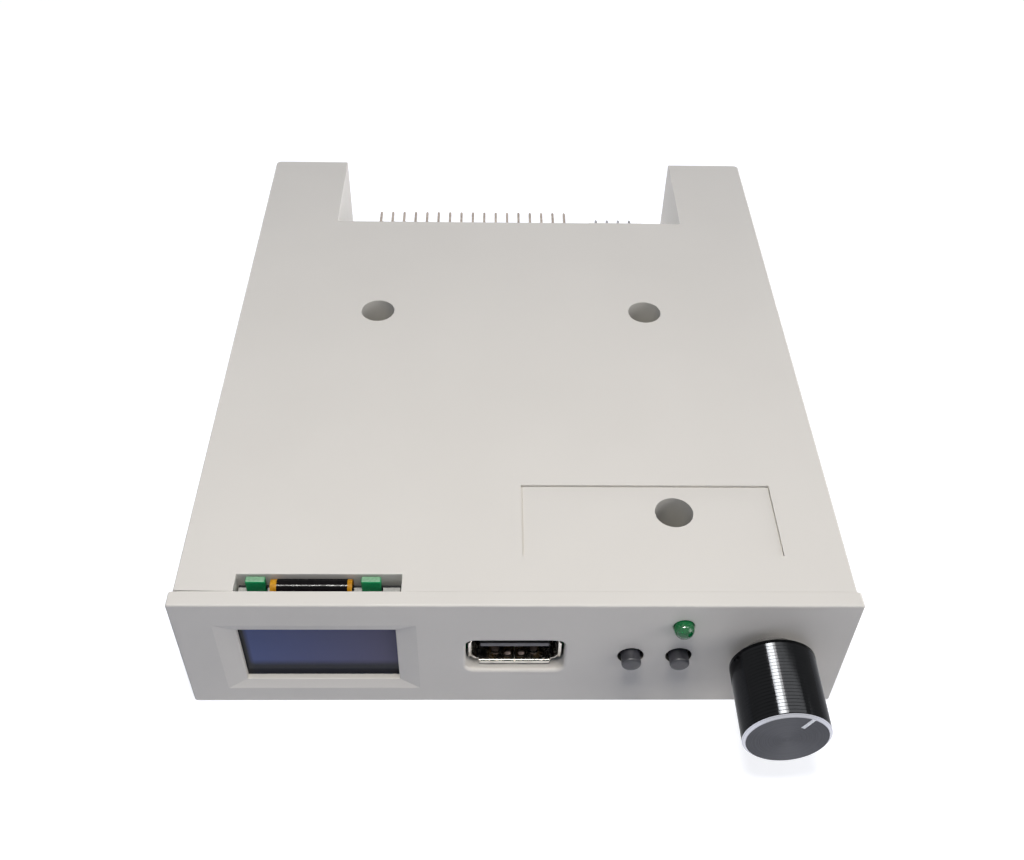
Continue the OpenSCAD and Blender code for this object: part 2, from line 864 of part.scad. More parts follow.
module case_screws() {
    recess_d = 2.6;
    color(metal_colour)
        for (p = post_places)
            translate([p[0], front_y + p[1], board_top + well_floor])
                difference() {
                    union() {
                        cylinder(d = head_d, h = head_h);
                        translate([0, 0, -screw_l])
                            cylinder(d = screw_d, h = screw_l);
                    }
                    for (turn = [0, 90])
                        rotate(turn)
                            translate([-recess_d / 2, -recess_d / 8, head_h / 2])
                                cube([recess_d, recess_d / 4, head_h]);
                }
}

// Outline of the circuit board seen from above
module board_outline() {
    main_back = bay_y - wall - board_side;
    translate([-board_w / 2, front_y + board_set])
        square([board_w, main_back - front_y - board_set]);
    translate([-tail_w / 2, main_back - cut_over])
        square([tail_w, rear_y - tail_end - main_back + cut_over]);
    translate([tongue_left, front_y + tongue_set])
        square([tongue_right - tongue_left, board_set - tongue_set + cut_over]);
}

module main_board() {
    color(board_colour)
        translate([0, 0, board_z])
            linear_extrude(board_t)
                difference() {
                    board_outline();
                    for (p = concat(post_places, [peg_place]))
                        translate([p[0], front_y + p[1]])
                            circle(d = clear_d);
                    drive_leg_places()
                        circle(d = pin_w * sqrt(2) + 2 * lead_gap);
                    power_leg_places()
                        circle(d = pin_w * sqrt(2) + 2 * lead_gap);
                    jumper_places()
                        circle(d = pin_w * sqrt(2) + 2 * lead_gap);
                    lamp_lead_places()
                        circle(d = lead_d + 2 * lead_gap);
                    port_leg_places()
                        square(port_leg_w + 2 * lead_gap, center = true);
                    port_tab_places()
                        square([sheet_t + 2 * lead_gap, port_tab_l + 2 * lead_gap], center = true);
                    switch_leg_places()
                        square([switch_leg_w + 2 * lead_gap, switch_leg_t + 2 * lead_gap], center = true);
                }
}

// Where the legs of the drive connector's pins pass the board
module drive_leg_places() {
    for (r = [0, 1])
        translate([header_x, block_front - leg_set - r * pin_pitch])
            row(header_columns, pin_pitch)
                children();
}

// Where the legs of the power pins pass the board
module power_leg_places() {
    translate([power_x, block_back - power_l - leg_set])
        row(power_pins, power_pitch)
            children();
}

// Where the jumper pins stand
module jumper_places() {
    for (r = [-0.5, 0.5])
        translate([jumper_x, jumper_y + r * pin_pitch])
            row(jumper_columns, pin_pitch)
                children();
}

// Where the lamp's leads pass the board
module lamp_lead_places() {
    translate([lamp_x, front_y + lead_set])
        row(2, lead_pitch)
            children();
}

// Where the port's contacts pass the board
module port_leg_places() {
    for (x = strip_places)
        translate([port_x + x, front_y + port_back - port_leg_inset])
            children();
}

// Where the port shell's two tabs pass the board
module port_tab_places() {
    translate([port_x, front_y + port_back - port_tab_inset])
        row(2, port_w - sheet_t)
            children();
}

// Where the legs of the two switches pass the board
module switch_leg_places() {
    for (x = [button_x, button_x + button_pitch])
        translate([x, front_y + switch_set + switch_l + switch_leg_t / 2])
            row(2, switch_leg_pitch)
                children();
}

module processor_chip() {
    leg_w = 0.22;
    leg_edge = 1;
    leg_pitch = (chip_w - 2 * leg_edge) / (chip_legs - 1);
    leg_reach = 1;
    color(black_colour)
        translate([chip_place[0], chip_place[1], board_top]) {
            translate([-chip_w / 2, -chip_w / 2, 0])
                cube([chip_w, chip_w, chip_h]);
            for (turn = [0 : 90 : 270])
                rotate(turn)
                    row(chip_legs, leg_pitch)
                        translate([-leg_w / 2, chip_w / 2 - leg_reach / 2, 0])
                            cube([leg_w, leg_reach / 2 + leg_reach, leg_w]);
        }
}

module driver_chips() {
    body = [3.9, 8.7, 1.5];
    leg_w = 0.4;
    leg_reach = 1;
    legs = 7;
    leg_pitch = 1.27;
    color(black_colour)
        for (x = driver_places)
            translate([x, rear_parts_y, board_top]) {
                translate([-body[0] / 2, -body[1] / 2, 0])
                    cube(body);
                rotate(90)
                    row(legs, leg_pitch)
                        translate([-leg_w / 2, -body[0] / 2 - leg_reach, 0])
                            cube([leg_w, body[0] + 2 * leg_reach, leg_w]);
            }
}

module clock_crystal() {
    can = [11, 4.6, 3.5];
    can_r = 2.2;
    color(metal_colour)
        translate([crystal_place[0], crystal_place[1], board_top])
            linear_extrude(can[2])
                rounded_rect(can[0], can[1], can_r);
}

module voltage_regulator() {
    body = [6.5, 3.5, 1.6];
    tab_w = 3;
    leg_w = 0.7;
    leg_t = 0.3;
    leg_pitch = 2.3;
    color(black_colour)
        translate([regulator_x, rear_parts_y, board_top]) {
            translate([-body[0] / 2, -body[1] / 2, 0])
                cube(body);
            translate([-tab_w / 2, 0, 0])
                cube([tab_w, body[1], leg_t]);
            row(3, leg_pitch)
                translate([-leg_w / 2, -body[1], 0])
                    cube([leg_w, body[1], leg_t]);
        }
}

module storage_capacitors() {
    foot_edge = 0.2;
    foot_w = cap_d + 2 * foot_edge;
    foot_h = 0.6;
    color(metal_colour)
        for (x = capacitor_places)
            translate([x, rear_parts_y, board_top]) {
                translate([-foot_w / 2, -foot_w / 2, 0])
                    cube([foot_w, foot_w, foot_h]);
                cylinder(d = cap_d, h = cap_h);
            }
}

module drive_header_block() {
    color(black_colour)
        difference() {
            translate([header_x - block_w / 2, block_front, board_top])
                cube([block_w, pin_pitch, 2 * pin_pitch]);
            for (r = [0, 1])
                translate([header_x, block_front - cut_over, low_row + r * pin_pitch])
                    row(header_columns, pin_pitch)
                        translate([-pin_w / 2, 0, -pin_w / 2])
                            cube([pin_w, pin_pitch + 2 * cut_over, pin_w]);
        }
}

// One square pin that runs forward from its tip and turns down through the board
module angled_pin(tip, leg_y, z, foot) {
    translate([-pin_w / 2, leg_y - pin_w / 2, z - pin_w / 2])
        cube([pin_w, tip - leg_y + pin_w / 2, pin_w]);
    translate([-pin_w / 2, leg_y - pin_w / 2, foot])
        cube([pin_w, pin_w, z + pin_w / 2 - foot]);
}

module drive_header_pins() {
    color(metal_colour)
        for (r = [0, 1])
            translate([header_x, 0, 0])
                row(header_columns, pin_pitch)
                    angled_pin(tip_y, block_front - leg_set - r * pin_pitch, low_row + r * pin_pitch,
                               board_z - leg_below);
}

module power_header_block() {
    guide_t = 0.9;
    guide_l = 5;
    guide_edge = 1;
    guide_w = (power_pins - 1) * power_pitch + 2 * guide_edge;
    color([0.93, 0.92, 0.88])
        difference() {
            union() {
                translate([power_x - power_w / 2, block_back - power_l, board_top])
                    cube([power_w, power_l, power_h]);
                translate([power_x - guide_w / 2, block_back - cut_over, board_top])
                    cube([guide_w, guide_l + cut_over, guide_t]);
                for (side = [-1, 1])
                    translate([power_x + side * guide_w / 2 - guide_t / 2, block_back - cut_over, board_top])
                        cube([guide_t, guide_l + cut_over, power_rise]);
            }
            translate([power_x, block_back - power_l - cut_over, board_top + power_rise - pin_w / 2])
                row(power_pins, power_pitch)
                    translate([-pin_w / 2, 0, 0])
                        cube([pin_w, power_l + 2 * cut_over, pin_w]);
        }
}

module power_header_pins() {
    color(metal_colour)
        translate([power_x, 0, 0])
            row(power_pins, power_pitch)
                angled_pin(tip_y, block_back - power_l - leg_set, board_top + power_rise,
                           board_z - leg_below);
}

module jumper_block() {
    color(black_colour)
        difference() {
            translate([jumper_x - jumper_columns * pin_pitch / 2, jumper_y - pin_pitch, board_top])
                cube([jumper_columns * pin_pitch, 2 * pin_pitch, pin_pitch]);
            jumper_places()
                translate([-pin_w / 2, -pin_w / 2, board_top - cut_over])
                    cube([pin_w, pin_w, pin_pitch + 2 * cut_over]);
        }
}

module jumper_pins() {
    color(metal_colour)
        jumper_places()
            translate([-pin_w / 2, -pin_w / 2, board_z - leg_below])
                cube([pin_w, pin_w, board_t + leg_below + jumper_h]);
}

module jumper_cap() {
    cap_w = pin_pitch - 2 * fit_gap;
    cap_l = 2 * pin_pitch - 2 * fit_gap;
    first_x = jumper_x - (jumper_columns - 1) / 2 * pin_pitch;
    color(black_colour)
        difference() {
            translate([first_x - cap_w / 2, jumper_y - cap_l / 2, board_top + pin_pitch])
                cube([cap_w, cap_l, jumper_h - pin_pitch]);
            for (r = [-0.5, 0.5])
                translate([first_x - pin_w / 2, jumper_y + r * pin_pitch - pin_w / 2, board_top])
                    cube([pin_w, pin_w, jumper_h + cut_over]);
        }
}

module port_shell() {
    lip_cut = 1.2;
    lip_top_w = port_w - 2 * lip_cut;
    lip_side_h = port_h - 2 * lip_cut;
    color(metal_colour) {
        difference() {
            front_extrude(port_set, port_back)
                translate([port_x, port_z])
                    difference() {
                        rounded_rect(port_w, port_h, 3 * sheet_t);
                        rounded_rect(port_w - 2 * sheet_t, port_inner_h, 2 * sheet_t);
                    }
            front_box([port_x - port_w / 2 + 3 * sheet_t, port_back - port_open_l, board_top - cut_over],
                      [port_x + port_w / 2 - 3 * sheet_t, port_back + cut_over, port_z]);
        }
        translate([port_x, front_y + port_set, port_z])
            for (flip = [0, 1]) {
                mirror([0, 0, flip])
                    translate([-lip_top_w / 2, 0, port_h / 2 - sheet_t])
                        rotate([-lip_angle, 0, 0])
                            translate([0, -lip_l, 0])
                                cube([lip_top_w, lip_l + sheet_t / 2, sheet_t]);
                mirror([flip, 0, 0])
                    translate([port_w / 2 - sheet_t, 0, -lip_side_h / 2])
                        rotate([0, 0, lip_angle])
                            translate([0, -lip_l, 0])
                                cube([sheet_t, lip_l + sheet_t / 2, lip_side_h]);
            }
        port_tab_places()
            translate([-sheet_t / 2, -port_tab_l / 2, board_z - leg_below])
                cube([sheet_t, port_tab_l, board_t + leg_below + port_h / 2]);
    }
}

module port_tongue() {
    back_l = 3.2;
    back_far = port_back - port_leg_inset - port_leg_w / 2;
    back_w = port_w - 2 * (sheet_t + fit_gap);
    back_h = port_h - 2 * (sheet_t + fit_gap);
    color(black_colour)
        difference() {
            union() {
                front_box([port_x - port_tongue_w / 2, port_set + port_tongue_set, port_tongue_z],
                          [port_x + port_tongue_w / 2, back_far, port_tongue_z + port_tongue_t]);
                front_extrude(port_back - back_l, back_far)
                    translate([port_x, port_z])
                        rounded_rect(back_w, back_h, 2 * sheet_t);
            }
            for (x = strip_places)
                front_box([port_x + x - strip_w / 2, 0, port_tongue_z - cut_over],
                          [port_x + x + strip_w / 2, case_l, port_tongue_z + strip_t]);
        }
}

module port_contacts() {
    strip_inset = 1;
    leg_near = port_back - port_leg_inset - port_leg_w / 2;
    leg_far = leg_near + port_leg_w;
    color(gold_colour)
        for (x = strip_places) {
            front_box([port_x + x - strip_w / 2, port_set + port_tongue_set + strip_inset, port_tongue_z],
                      [port_x + x + strip_w / 2, leg_far, port_tongue_z + strip_t]);
            front_box([port_x + x - port_leg_w / 2, leg_near, board_z - leg_below],
                      [port_x + x + port_leg_w / 2, leg_far, port_tongue_z + strip_t]);
        }
}

// Body of one switch with the bore for its stem and the chamber for flange and spring dome
module switch_body(x) {
    color(black_colour)
        difference() {
            front_box([x - switch_w / 2, switch_set, board_top],
                      [x + switch_w / 2, switch_set + switch_l, board_top + switch_h]);
            on_front_axis(x, button_z) {
                cylinder(d = button_d + 2 * stem_gap, h = switch_set + switch_wall + cut_over);
                translate([0, 0, switch_set + switch_wall])
                    cylinder(d = stem_flange_d + 2 * cavity_gap, h = switch_cavity_l);
            }
        }
}

module left_switch_body() {
    switch_body(button_x);
}

module right_switch_body() {
    switch_body(button_x + button_pitch);
}

// Thin cone spring behind a stem, with its rim on the floor of the chamber
module spring_dome(d, far) {
    color(metal_colour)
        translate([0, 0, far - dome_rise - dome_t])
            rotate_extrude()
                polygon([
                    [0, 0],
                    [d / 4, 0],
                    [d / 2, dome_rise],
                    [d / 2, dome_rise + dome_t],
                    [d / 4, dome_t],
                    [0, dome_t]
                ]);
}

module switch_dome(x) {
    on_front_axis(x, button_z)
        spring_dome(stem_flange_d, switch_set + switch_wall + switch_cavity_l);
}

module left_switch_dome() {
    switch_dome(button_x);
}

module right_switch_dome() {
    switch_dome(button_x + button_pitch);
}

module switch_legs() {
    leg_h = 2;
    color(metal_colour)
        switch_leg_places()
            translate([-switch_leg_w / 2, -switch_leg_t / 2, board_z - leg_below])
                cube([switch_leg_w, switch_leg_t, board_t + leg_below + leg_h]);
}

// One push button: a stem with a rounded front edge and the flange that keeps it in its switch
module push_button(x) {
    edge = 0.3;
    flange_near = switch_set + switch_wall;
    color([0.20, 0.20, 0.21])
        on_front_axis(x, button_z)
            rotate_extrude()
                union() {
                    translate([0, -button_out + edge])
                        square([button_d / 2, flange_near + button_out - edge + stem_flange_t / 2]);
                    translate([0, -button_out])
                        square([button_d / 2 - edge, 2 * edge]);
                    translate([button_d / 2 - edge, -button_out + edge])
                        circle(edge);
                    translate([0, flange_near])
                        square([stem_flange_d / 2, stem_flange_t]);
                }
}

module left_button() {
    push_button(button_x);
}

module right_button() {
    push_button(button_x + button_pitch);
}

module lamp_lens() {
    r = lamp_d / 2;
    color(green_colour)
        on_front_axis(lamp_x, lamp_z)
            rotate_extrude()
                intersection() {
                    union() {
                        translate([0, -lamp_out + r])
                            circle(r);
                        translate([0, -lamp_out + r])
                            square([r, lamp_out - r + plate_t + lamp_flange_t / 2]);
                        translate([0, plate_t])
                            square([r + lamp_flange, lamp_flange_t]);
                    }
                    translate([0, -lamp_out])
                        square(beyond);
                }
}

module lamp_leads() {
    bend = 1;
    lens_back = plate_t + lamp_flange_t;
    drop = lamp_z - bend - board_z + leg_below;
    color(metal_colour)
        for (side = [-0.5, 0.5])
            wire_from(lamp_x + side * lead_pitch, lens_back, lamp_z, lead_d, bend,
                      [lead_set - bend - lens_back, drop], [-90]);
}

module display_glass() {
    color([0.12, 0.13, 0.20])
        front_box([window_x - glass_w / 2, plate_t, glass_bottom],
                  [window_x + glass_w / 2, glass_back, glass_bottom + glass_h]);
}

// Foam tape between glass and board, with room for the edge clips and the flex
module display_tape() {
    inset = 0.3;
    tape_top = min(glass_bottom + glass_h - flex_tail, display_top - edge_clip_grip) - fit_gap;
    clip_room = edge_clip_w / 2 + fit_gap;
    flex_room = flex_w / 2 + fit_gap;
    color([0.85, 0.85, 0.82])
        difference() {
            front_box([slot_x - display_w / 2, glass_back, glass_bottom + inset],
                      [slot_x + display_w / 2, display_near, display_top]);
            for (side = [-0.5, 0.5])
                translate([window_x + side * edge_clip_pitch, 0, 0])
                    front_box([-clip_room, 0, tape_top], [clip_room, display_far, case_h]);
            front_box([flex_x - flex_room, 0, tape_top], [flex_x + flex_room, display_far, case_h]);
        }
}

module display_board() {
    color([0.06, 0.10, 0.16])
        front_box([slot_x - display_w / 2, display_near, display_bottom],
                  [slot_x + display_w / 2, display_far, display_top]);
}

// Flex strip glued to the back of the glass and folded over the display board's top edge
module display_flex() {
    bend_y = front_y + flex_near + flex_r;
    rear_l = 6;
    color([0.10, 0.08, 0.08])
        side_extrude(flex_x - flex_w / 2, flex_x + flex_w / 2)
            union() {
                intersection() {
                    translate([bend_y, flex_z])
                        difference() {
                            circle(flex_r + flex_t / 2);
                            circle(flex_r - flex_t / 2);
                        }
                    translate([bend_y - beyond / 2, flex_z])
                        square(beyond);
                }
                translate([bend_y - flex_r - flex_t / 2, glass_bottom + glass_h - flex_tail])
                    square([flex_t, flex_z - glass_bottom - glass_h + flex_tail]);
                translate([bend_y + flex_r - flex_t / 2, flex_z - rear_l])
                    square([flex_t, rear_l]);
            }
}

// Two small plastic clips pushed onto the display board's top edge beside the flex
module display_clips() {
    clip_top = display_top + edge_clip_rise;
    color(green_colour)
        for (side = [-0.5, 0.5])
            translate([window_x + side * edge_clip_pitch, 0, 0])
                difference() {
                    front_box([-edge_clip_w / 2, display_near - fit_gap / 2 - edge_clip_t,
                               display_top - edge_clip_grip],
                              [edge_clip_w / 2, display_far + fit_gap / 2 + edge_clip_t, clip_top]);
                    front_box([-edge_clip_w, display_near - fit_gap / 2, 0],
                              [edge_clip_w, display_far + fit_gap / 2, display_top]);
                }
}

module display_cable() {
    wires = 4;
    solder_z = 2.5;
    arch_h = 2.5;
    start_z = display_bottom + solder_z;
    rise = board_top + arch_h - start_z;
    reach = board_set - wire_bend - wire_d - display_far;
    over = 6;
    color([0.15, 0.15, 0.16])
        row(wires, wire_pitch)
            wire_from(window_x, display_far, start_z, wire_d, wire_bend,
                      [reach - wire_bend, rise, over, rise + start_z - board_top], [90, -90, -90]);
}

module encoder_frame() {
    color(metal_colour)
        difference() {
            union() {
                front_extrude(encoder_near, encoder_near + encoder_plate)
                    translate([knob_x, knob_z])
                        square([encoder_w, encoder_h], center = true);
                on_front_axis(knob_x, knob_z)
                    translate([0, 0, bush_front])
                        cylinder(d = bush_d, h = bush_l + encoder_plate / 2);
            }
            on_front_axis(knob_x, knob_z) {
                translate([0, 0, bush_front - cut_over])
                    cylinder(d = shaft_d + 2 * run_gap, h = bush_l + encoder_plate + 2 * cut_over);
                translate([0, 0, encoder_near + encoder_plate - collar_t - run_gap])
                    cylinder(d = collar_d + 2 * fit_gap, h = collar_t + cut_over);
            }
        }
}

module encoder_cup() {
    near = encoder_near + encoder_plate;
    color([0.16, 0.16, 0.17])
        difference() {
            front_extrude(near, encoder_back)
                translate([knob_x, knob_z])
                    square([encoder_w, encoder_h], center = true);
            on_front_axis(knob_x, knob_z) {
                translate([0, 0, near - cut_over])
                    cylinder(d = rotor_d + 2 * run_gap, h = cavity_l + cut_over);
                translate([0, 0, near])
                    cylinder(d = dome_bore_d, h = cup_l - cup_floor);
            }
        }
}

// Section of the shaft's driving end: a circle with two flats
module key_section(gap) {
    intersection() {
        circle(d = key_d + 2 * gap);
        square([beyond, 2 * (key_flat + gap)], center = true);
    }
}

module encoder_rotor() {
    color([0.75, 0.70, 0.55])
        on_front_axis(knob_x, knob_z)
            translate([0, 0, rotor_near])
                linear_extrude(rotor_t)
                    difference() {
                        circle(d = rotor_d);
                        key_section(run_gap);
                    }
}

module encoder_shaft() {
    collar_near = encoder_near + encoder_plate - collar_t;
    key_far = rotor_near + rotor_t;
    color(metal_colour)
        on_front_axis(knob_x, knob_z)
            difference() {
                union() {
                    translate([0, 0, shaft_front])
                        cylinder(d = shaft_d, h = collar_near - shaft_front + collar_t / 2);
                    translate([0, 0, collar_near])
                        cylinder(d = collar_d, h = collar_t);
                    translate([0, 0, collar_near])
                        linear_extrude(key_far - collar_near)
                            key_section(0);
                    translate([0, 0, collar_near])
                        cylinder(d = shaft_tip_d, h = key_far + shaft_tip_l - collar_near);
                }
                rotate(pointer_angle)
                    translate([-beyond / 2, shaft_flat, shaft_front - cut_over])
                        cube([beyond, beyond, bush_bore_end - shaft_front + cut_over]);
            }
}

module encoder_dome() {
    on_front_axis(knob_x, knob_z)
        spring_dome(dome_bore_d - 2 * cavity_gap, encoder_back - cup_floor);
}

module encoder_terminals() {
    color(metal_colour)
        translate([knob_x, front_y + encoder_back, knob_z])
            for (spec = terminal_rows)
                row(spec[0], spec[1])
                    translate([-terminal_w / 2, 0, spec[2] * terminal_row - terminal_t / 2])
                        cube([terminal_w, terminal_l, terminal_t]);
}

module encoder_washer() {
    color(metal_colour)
        on_front_axis(knob_x, knob_z)
            translate([0, 0, plate_t])
                linear_extrude(washer_t)
                    difference() {
                        circle(d = washer_d);
                        circle(d = bush_d + 2 * fit_gap);
                    }
}

// Ring nut with a slot across it for a two-pin key
module encoder_nut() {
    notch_w = 1;
    notch_d = 0.5;
    color(metal_colour)
        on_front_axis(knob_x, knob_z)
            difference() {
                translate([0, 0, -nut_t])
                    linear_extrude(nut_t)
                        difference() {
                            circle(d = nut_d);
                            circle(d = bush_d + 2 * press_gap);
                        }
                translate([-nut_d, -notch_w / 2, -nut_t - cut_over])
                    cube([2 * nut_d, notch_w, notch_d + cut_over]);
            }
}

module encoder_cable() {
    set = encoder_back + terminal_l;
    low_z = knob_z - terminal_row;
    high_z = knob_z + terminal_row;
    arch_h = 1.5;
    low_rise = board_top + arch_h - low_z;
    start_l = 0.2;
    low_over = 5;
    high_over = 12;
    color([0.15, 0.15, 0.16]) {
        row(terminal_rows[0][0], terminal_rows[0][1])
            wire_from(knob_x, set, low_z, wire_d, wire_bend,
                      [start_l, low_rise, low_over, low_rise + low_z - board_top], [90, -90, -90]);
        row(terminal_rows[1][0], terminal_rows[1][1])
            wire_from(knob_x, set, high_z, wire_d, wire_bend,
                      [high_over, high_z - wire_bend - board_top], [-90]);
    }
}

module knob_shell() {
    r = knob_d / 2;
    color([0.10, 0.10, 0.11])
        difference() {
            on_front_axis(knob_x, knob_z)
                rotate_extrude()
                    polygon([
                        [0, knob_front],
                        [r - knob_cut, knob_front],
                        [r, knob_front + knob_cut_l],
                        [r, knob_back],
                        [r - knob_skirt, knob_back],
                        [r - knob_skirt, skirt_depth],
                        [core_r, skirt_depth],
                        [core_r, core_front],
                        [0, core_front]
                    ]);
            pointer_bar();
        }
}

// Bar of the pointer let into the knob's face
module pointer_bar() {
    l = knob_d / 2 - knob_cut - pointer_in;
    on_front_axis(knob_x, knob_z)
        rotate(pointer_angle)
            translate([-pointer_w / 2, -pointer_in - l, knob_front])
                cube([pointer_w, l, pointer_d]);
}

module knob_core() {
    color(black_colour)
        on_front_axis(knob_x, knob_z)
            difference() {
                translate([0, 0, core_front])
                    cylinder(r = core_r - press_gap, h = skirt_depth - core_front);
                translate([0, 0, bush_bore_end])
                    cylinder(r = bush_bore_r, h = beyond);
                translate([0, 0, shaft_front - fit_gap / 2])
                    linear_extrude(beyond)
                        rotate(pointer_angle)
                            difference() {
                                circle(d = shaft_d + 2 * press_gap);
                                translate([-beyond / 2, shaft_flat + press_gap])
                                    square(beyond);
                            }
            }
}

module knob_pointer() {
    color("white")
        pointer_bar();
}

top_cover();
bottom_tray();
front_bezel();
case_screws();
main_board();
processor_chip();
driver_chips();
clock_crystal();
voltage_regulator();
storage_capacitors();
drive_header_block();
drive_header_pins();
power_header_block();
power_header_pins();
jumper_block();
jumper_pins();
jumper_cap();
port_shell();
port_tongue();
port_contacts();
left_switch_body();
right_switch_body();
left_switch_dome();
right_switch_dome();
switch_legs();
left_button();
right_button();
lamp_lens();
lamp_leads();
display_glass();
display_tape();
display_board();
display_flex();
display_clips();
display_cable();
encoder_frame();
encoder_cup();
encoder_rotor();
encoder_shaft();
encoder_dome();
encoder_terminals();
encoder_washer();
encoder_nut();
encoder_cable();
knob_shell();
knob_core();
knob_pointer();
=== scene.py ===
"""Looks of a floppy drive emulator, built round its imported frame.

Lengths are in millimetres until a helper turns them into metres. The origin is the middle of the
underside, the front looks along -Y and the top along +Z.
"""

import math

import bmesh
import bpy
from mathutils import Matrix, Vector


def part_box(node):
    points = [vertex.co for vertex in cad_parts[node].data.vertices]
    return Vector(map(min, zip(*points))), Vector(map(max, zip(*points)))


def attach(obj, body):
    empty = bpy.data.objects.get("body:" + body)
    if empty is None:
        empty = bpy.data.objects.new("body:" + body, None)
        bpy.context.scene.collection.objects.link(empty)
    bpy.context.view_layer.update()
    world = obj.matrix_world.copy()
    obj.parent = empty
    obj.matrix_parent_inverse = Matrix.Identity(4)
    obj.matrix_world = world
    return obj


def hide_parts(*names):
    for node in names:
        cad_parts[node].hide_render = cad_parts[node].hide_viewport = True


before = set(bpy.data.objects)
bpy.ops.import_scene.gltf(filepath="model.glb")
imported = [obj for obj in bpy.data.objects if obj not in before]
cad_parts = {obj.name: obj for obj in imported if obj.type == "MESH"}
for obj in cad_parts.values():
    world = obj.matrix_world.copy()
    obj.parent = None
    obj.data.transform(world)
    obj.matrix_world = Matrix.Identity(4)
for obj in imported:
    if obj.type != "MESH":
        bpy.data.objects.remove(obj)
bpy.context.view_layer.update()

MM = 0.001
NEAR = 0.01
PAST = 2.0
X, Y, Z = 0, 1, 2


def node_box(node):
    """Lowest and highest corner of a CAD node in millimetres."""
    low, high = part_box(node)
    return low / MM, high / MM


# Case
BEZEL_LOW, BEZEL_HIGH = node_box("front_bezel")
COVER_LOW, COVER_HIGH = node_box("top_cover")
TRAY_LOW, TRAY_HIGH = node_box("bottom_tray")
FRONT = BEZEL_LOW.y
TOP = COVER_HIGH.z
REAR = COVER_HIGH.y
SEAM = TRAY_HIGH.z
SHELL_FRONT = COVER_LOW.y
WALL = 2.0
CORNER_R = 1.0
EDGE_R = 0.3
SOFT_R = 0.12
INNER = COVER_HIGH.x - WALL
BAY_HALF = 34.85
BAY_Y = 36.8
LEDGE_Y = 51.0
BOARD_LOW = 8.0
BOARD_TOP = 9.6
TAIL_HALF = 32.05
LEAD_GAP = 0.15
SEAM_GAP = 0.02
FIT = 0.1
POST_R = 3.5
PEG_R = 1.5
PILOT_R = 1.3
BOSS_R = 2.8
BOSS_LONG = 5.0
SIDE_HOLES_Y = (-35.45, 54.55)
SIDE_HOLE_Z = 5.0
SIDE_HOLE_R = 1.25
CLIP_Y = (FRONT + 9.9, FRONT + 11.5)
CLIP_Z = (3.0, 9.0)

# Wells, label recess and slot in the cover
WELLS = [(24.8, -40.9), (-24.8, 8.2), (24.8, 8.2)]
PEG = (-24.8, -40.9)
WELL_R = 3.0
WELL_WALL = 1.3
WELL_FLOOR = 11.1
SCREW_HOLE_R = 1.6
LABEL_X = (0.9, 40.55)
LABEL_Y = (-49.7, -35.4)
LABEL_DEEP = 0.25
LABEL_LINE = 0.22
LABEL_LINE_DEEP = 0.35
SLOT_X = (-41.425, -16.975)
SLOT_REAR = -53.25
SLOT_RIM = 1.0
WEDGE_TURN = 1.3

# Bezel
BEZEL_DEEP = 2.55
PLATE = 1.5
RIM = 1.5
BEZEL_R = 0.5
BEZEL_EDGE = 0.35
WINDOW_X = -29.85
WINDOW_Z = 12.1
WINDOW_W = 23.7
WINDOW_H = 13.1
BORDER_W = 3.15
BORDER_H = 1.8
BORDER_DEEP = 0.57
PORT_X = -0.1
PORT_Z = 12.5
MOUTH_W = 15.1
MOUTH_H = 7.75
MOUTH_R = 1.4
MOUTH_EDGE = 0.5
BUTTONS_X = (17.55, 24.9)
BUTTON_Z = 12.65
BUTTON_HOLE_R = 2.0
LAMP_X = 24.8
LAMP_Z = 20.25
LAMP_HOLE_R = 1.6
TONGUE_HALF = 4.0
TONGUE_LONG = 6.0
TONGUE_Z = (22.1, 23.3)

# Knob, with distances along its axis from the bezel's face
KNOB_X = 38.8
KNOB_Z = 13.5
BUSH_HOLE_R = 3.6
KNOB_R = 6.5
KNOB_NEAR = -14.75
KNOB_FAR = -1.9
GROOVE_PITCH = 0.56
GROOVE_RUN = 0.4
GROOVE_DEEP = 0.14
POINTER_HALF = 0.37
POINTER_REACH = (3.4, 6.0)
POINTER_DEEP = 0.2
POINTER_TURN = -28

# Port and pins
PORT_NEAR = FRONT + 1.7
PORT_FAR = FRONT + 15.7
PORT_HALF_W = 6.55
PORT_HALF_H = 2.9
PORT_SHEET = 0.3
SPRINGS_X = (PORT_X - 3.0, PORT_X + 3.0)
CONTACTS_X = [PORT_X + x for x in (-3.5, -1.0, 1.0, 3.5)]
PITCH = 2.54
DRIVE_COLUMNS = 17
JUMPER_COLUMNS = 6
POWER_PITCH = 2.5
POWER_PINS = 4
PIN_W = 0.52
PIN_TAPER = 0.5
PIN_FOOT = 6.6
TIP_Y = 57.65


# Work on one object

def let_go():
    """Leaves edit mode and drops every selection."""
    if bpy.context.mode != "OBJECT":
        bpy.ops.object.mode_set(mode="OBJECT")
    bpy.ops.object.select_all(action="DESELECT")


def pick_up(piece):
    """Makes one piece the only one selected."""
    let_go()
    piece.select_set(True)
    bpy.context.view_layer.objects.active = piece


def settle(name):
    """Names the object just added and moves its place, turn and scale into its mesh."""
    piece = bpy.context.object
    piece.name = name
    piece.data.name = name
    bpy.ops.object.transform_apply(location=True, rotation=True, scale=True)
    return piece


def block(name, low, high):
    """Box between two corners."""
    let_go()
    low, high = Vector(low) * MM, Vector(high) * MM
    bpy.ops.mesh.primitive_cube_add(size=1, location=(low + high) / 2)
    bpy.context.object.scale = high - low
    return settle(name)


def rod(name, start, radius, length, axis, sides=48):
    """Round bar from a start point along an axis."""
    let_go()
    tilt = {X: (0, math.pi / 2, 0), Y: (math.pi / 2, 0, 0), Z: (0, 0, 0)}[axis]
    centre = Vector(start)
    centre[axis] += length / 2
    bpy.ops.mesh.primitive_cylinder_add(vertices=sides, radius=radius * MM, depth=length * MM,
                                        location=centre * MM, rotation=tilt)
    return settle(name)


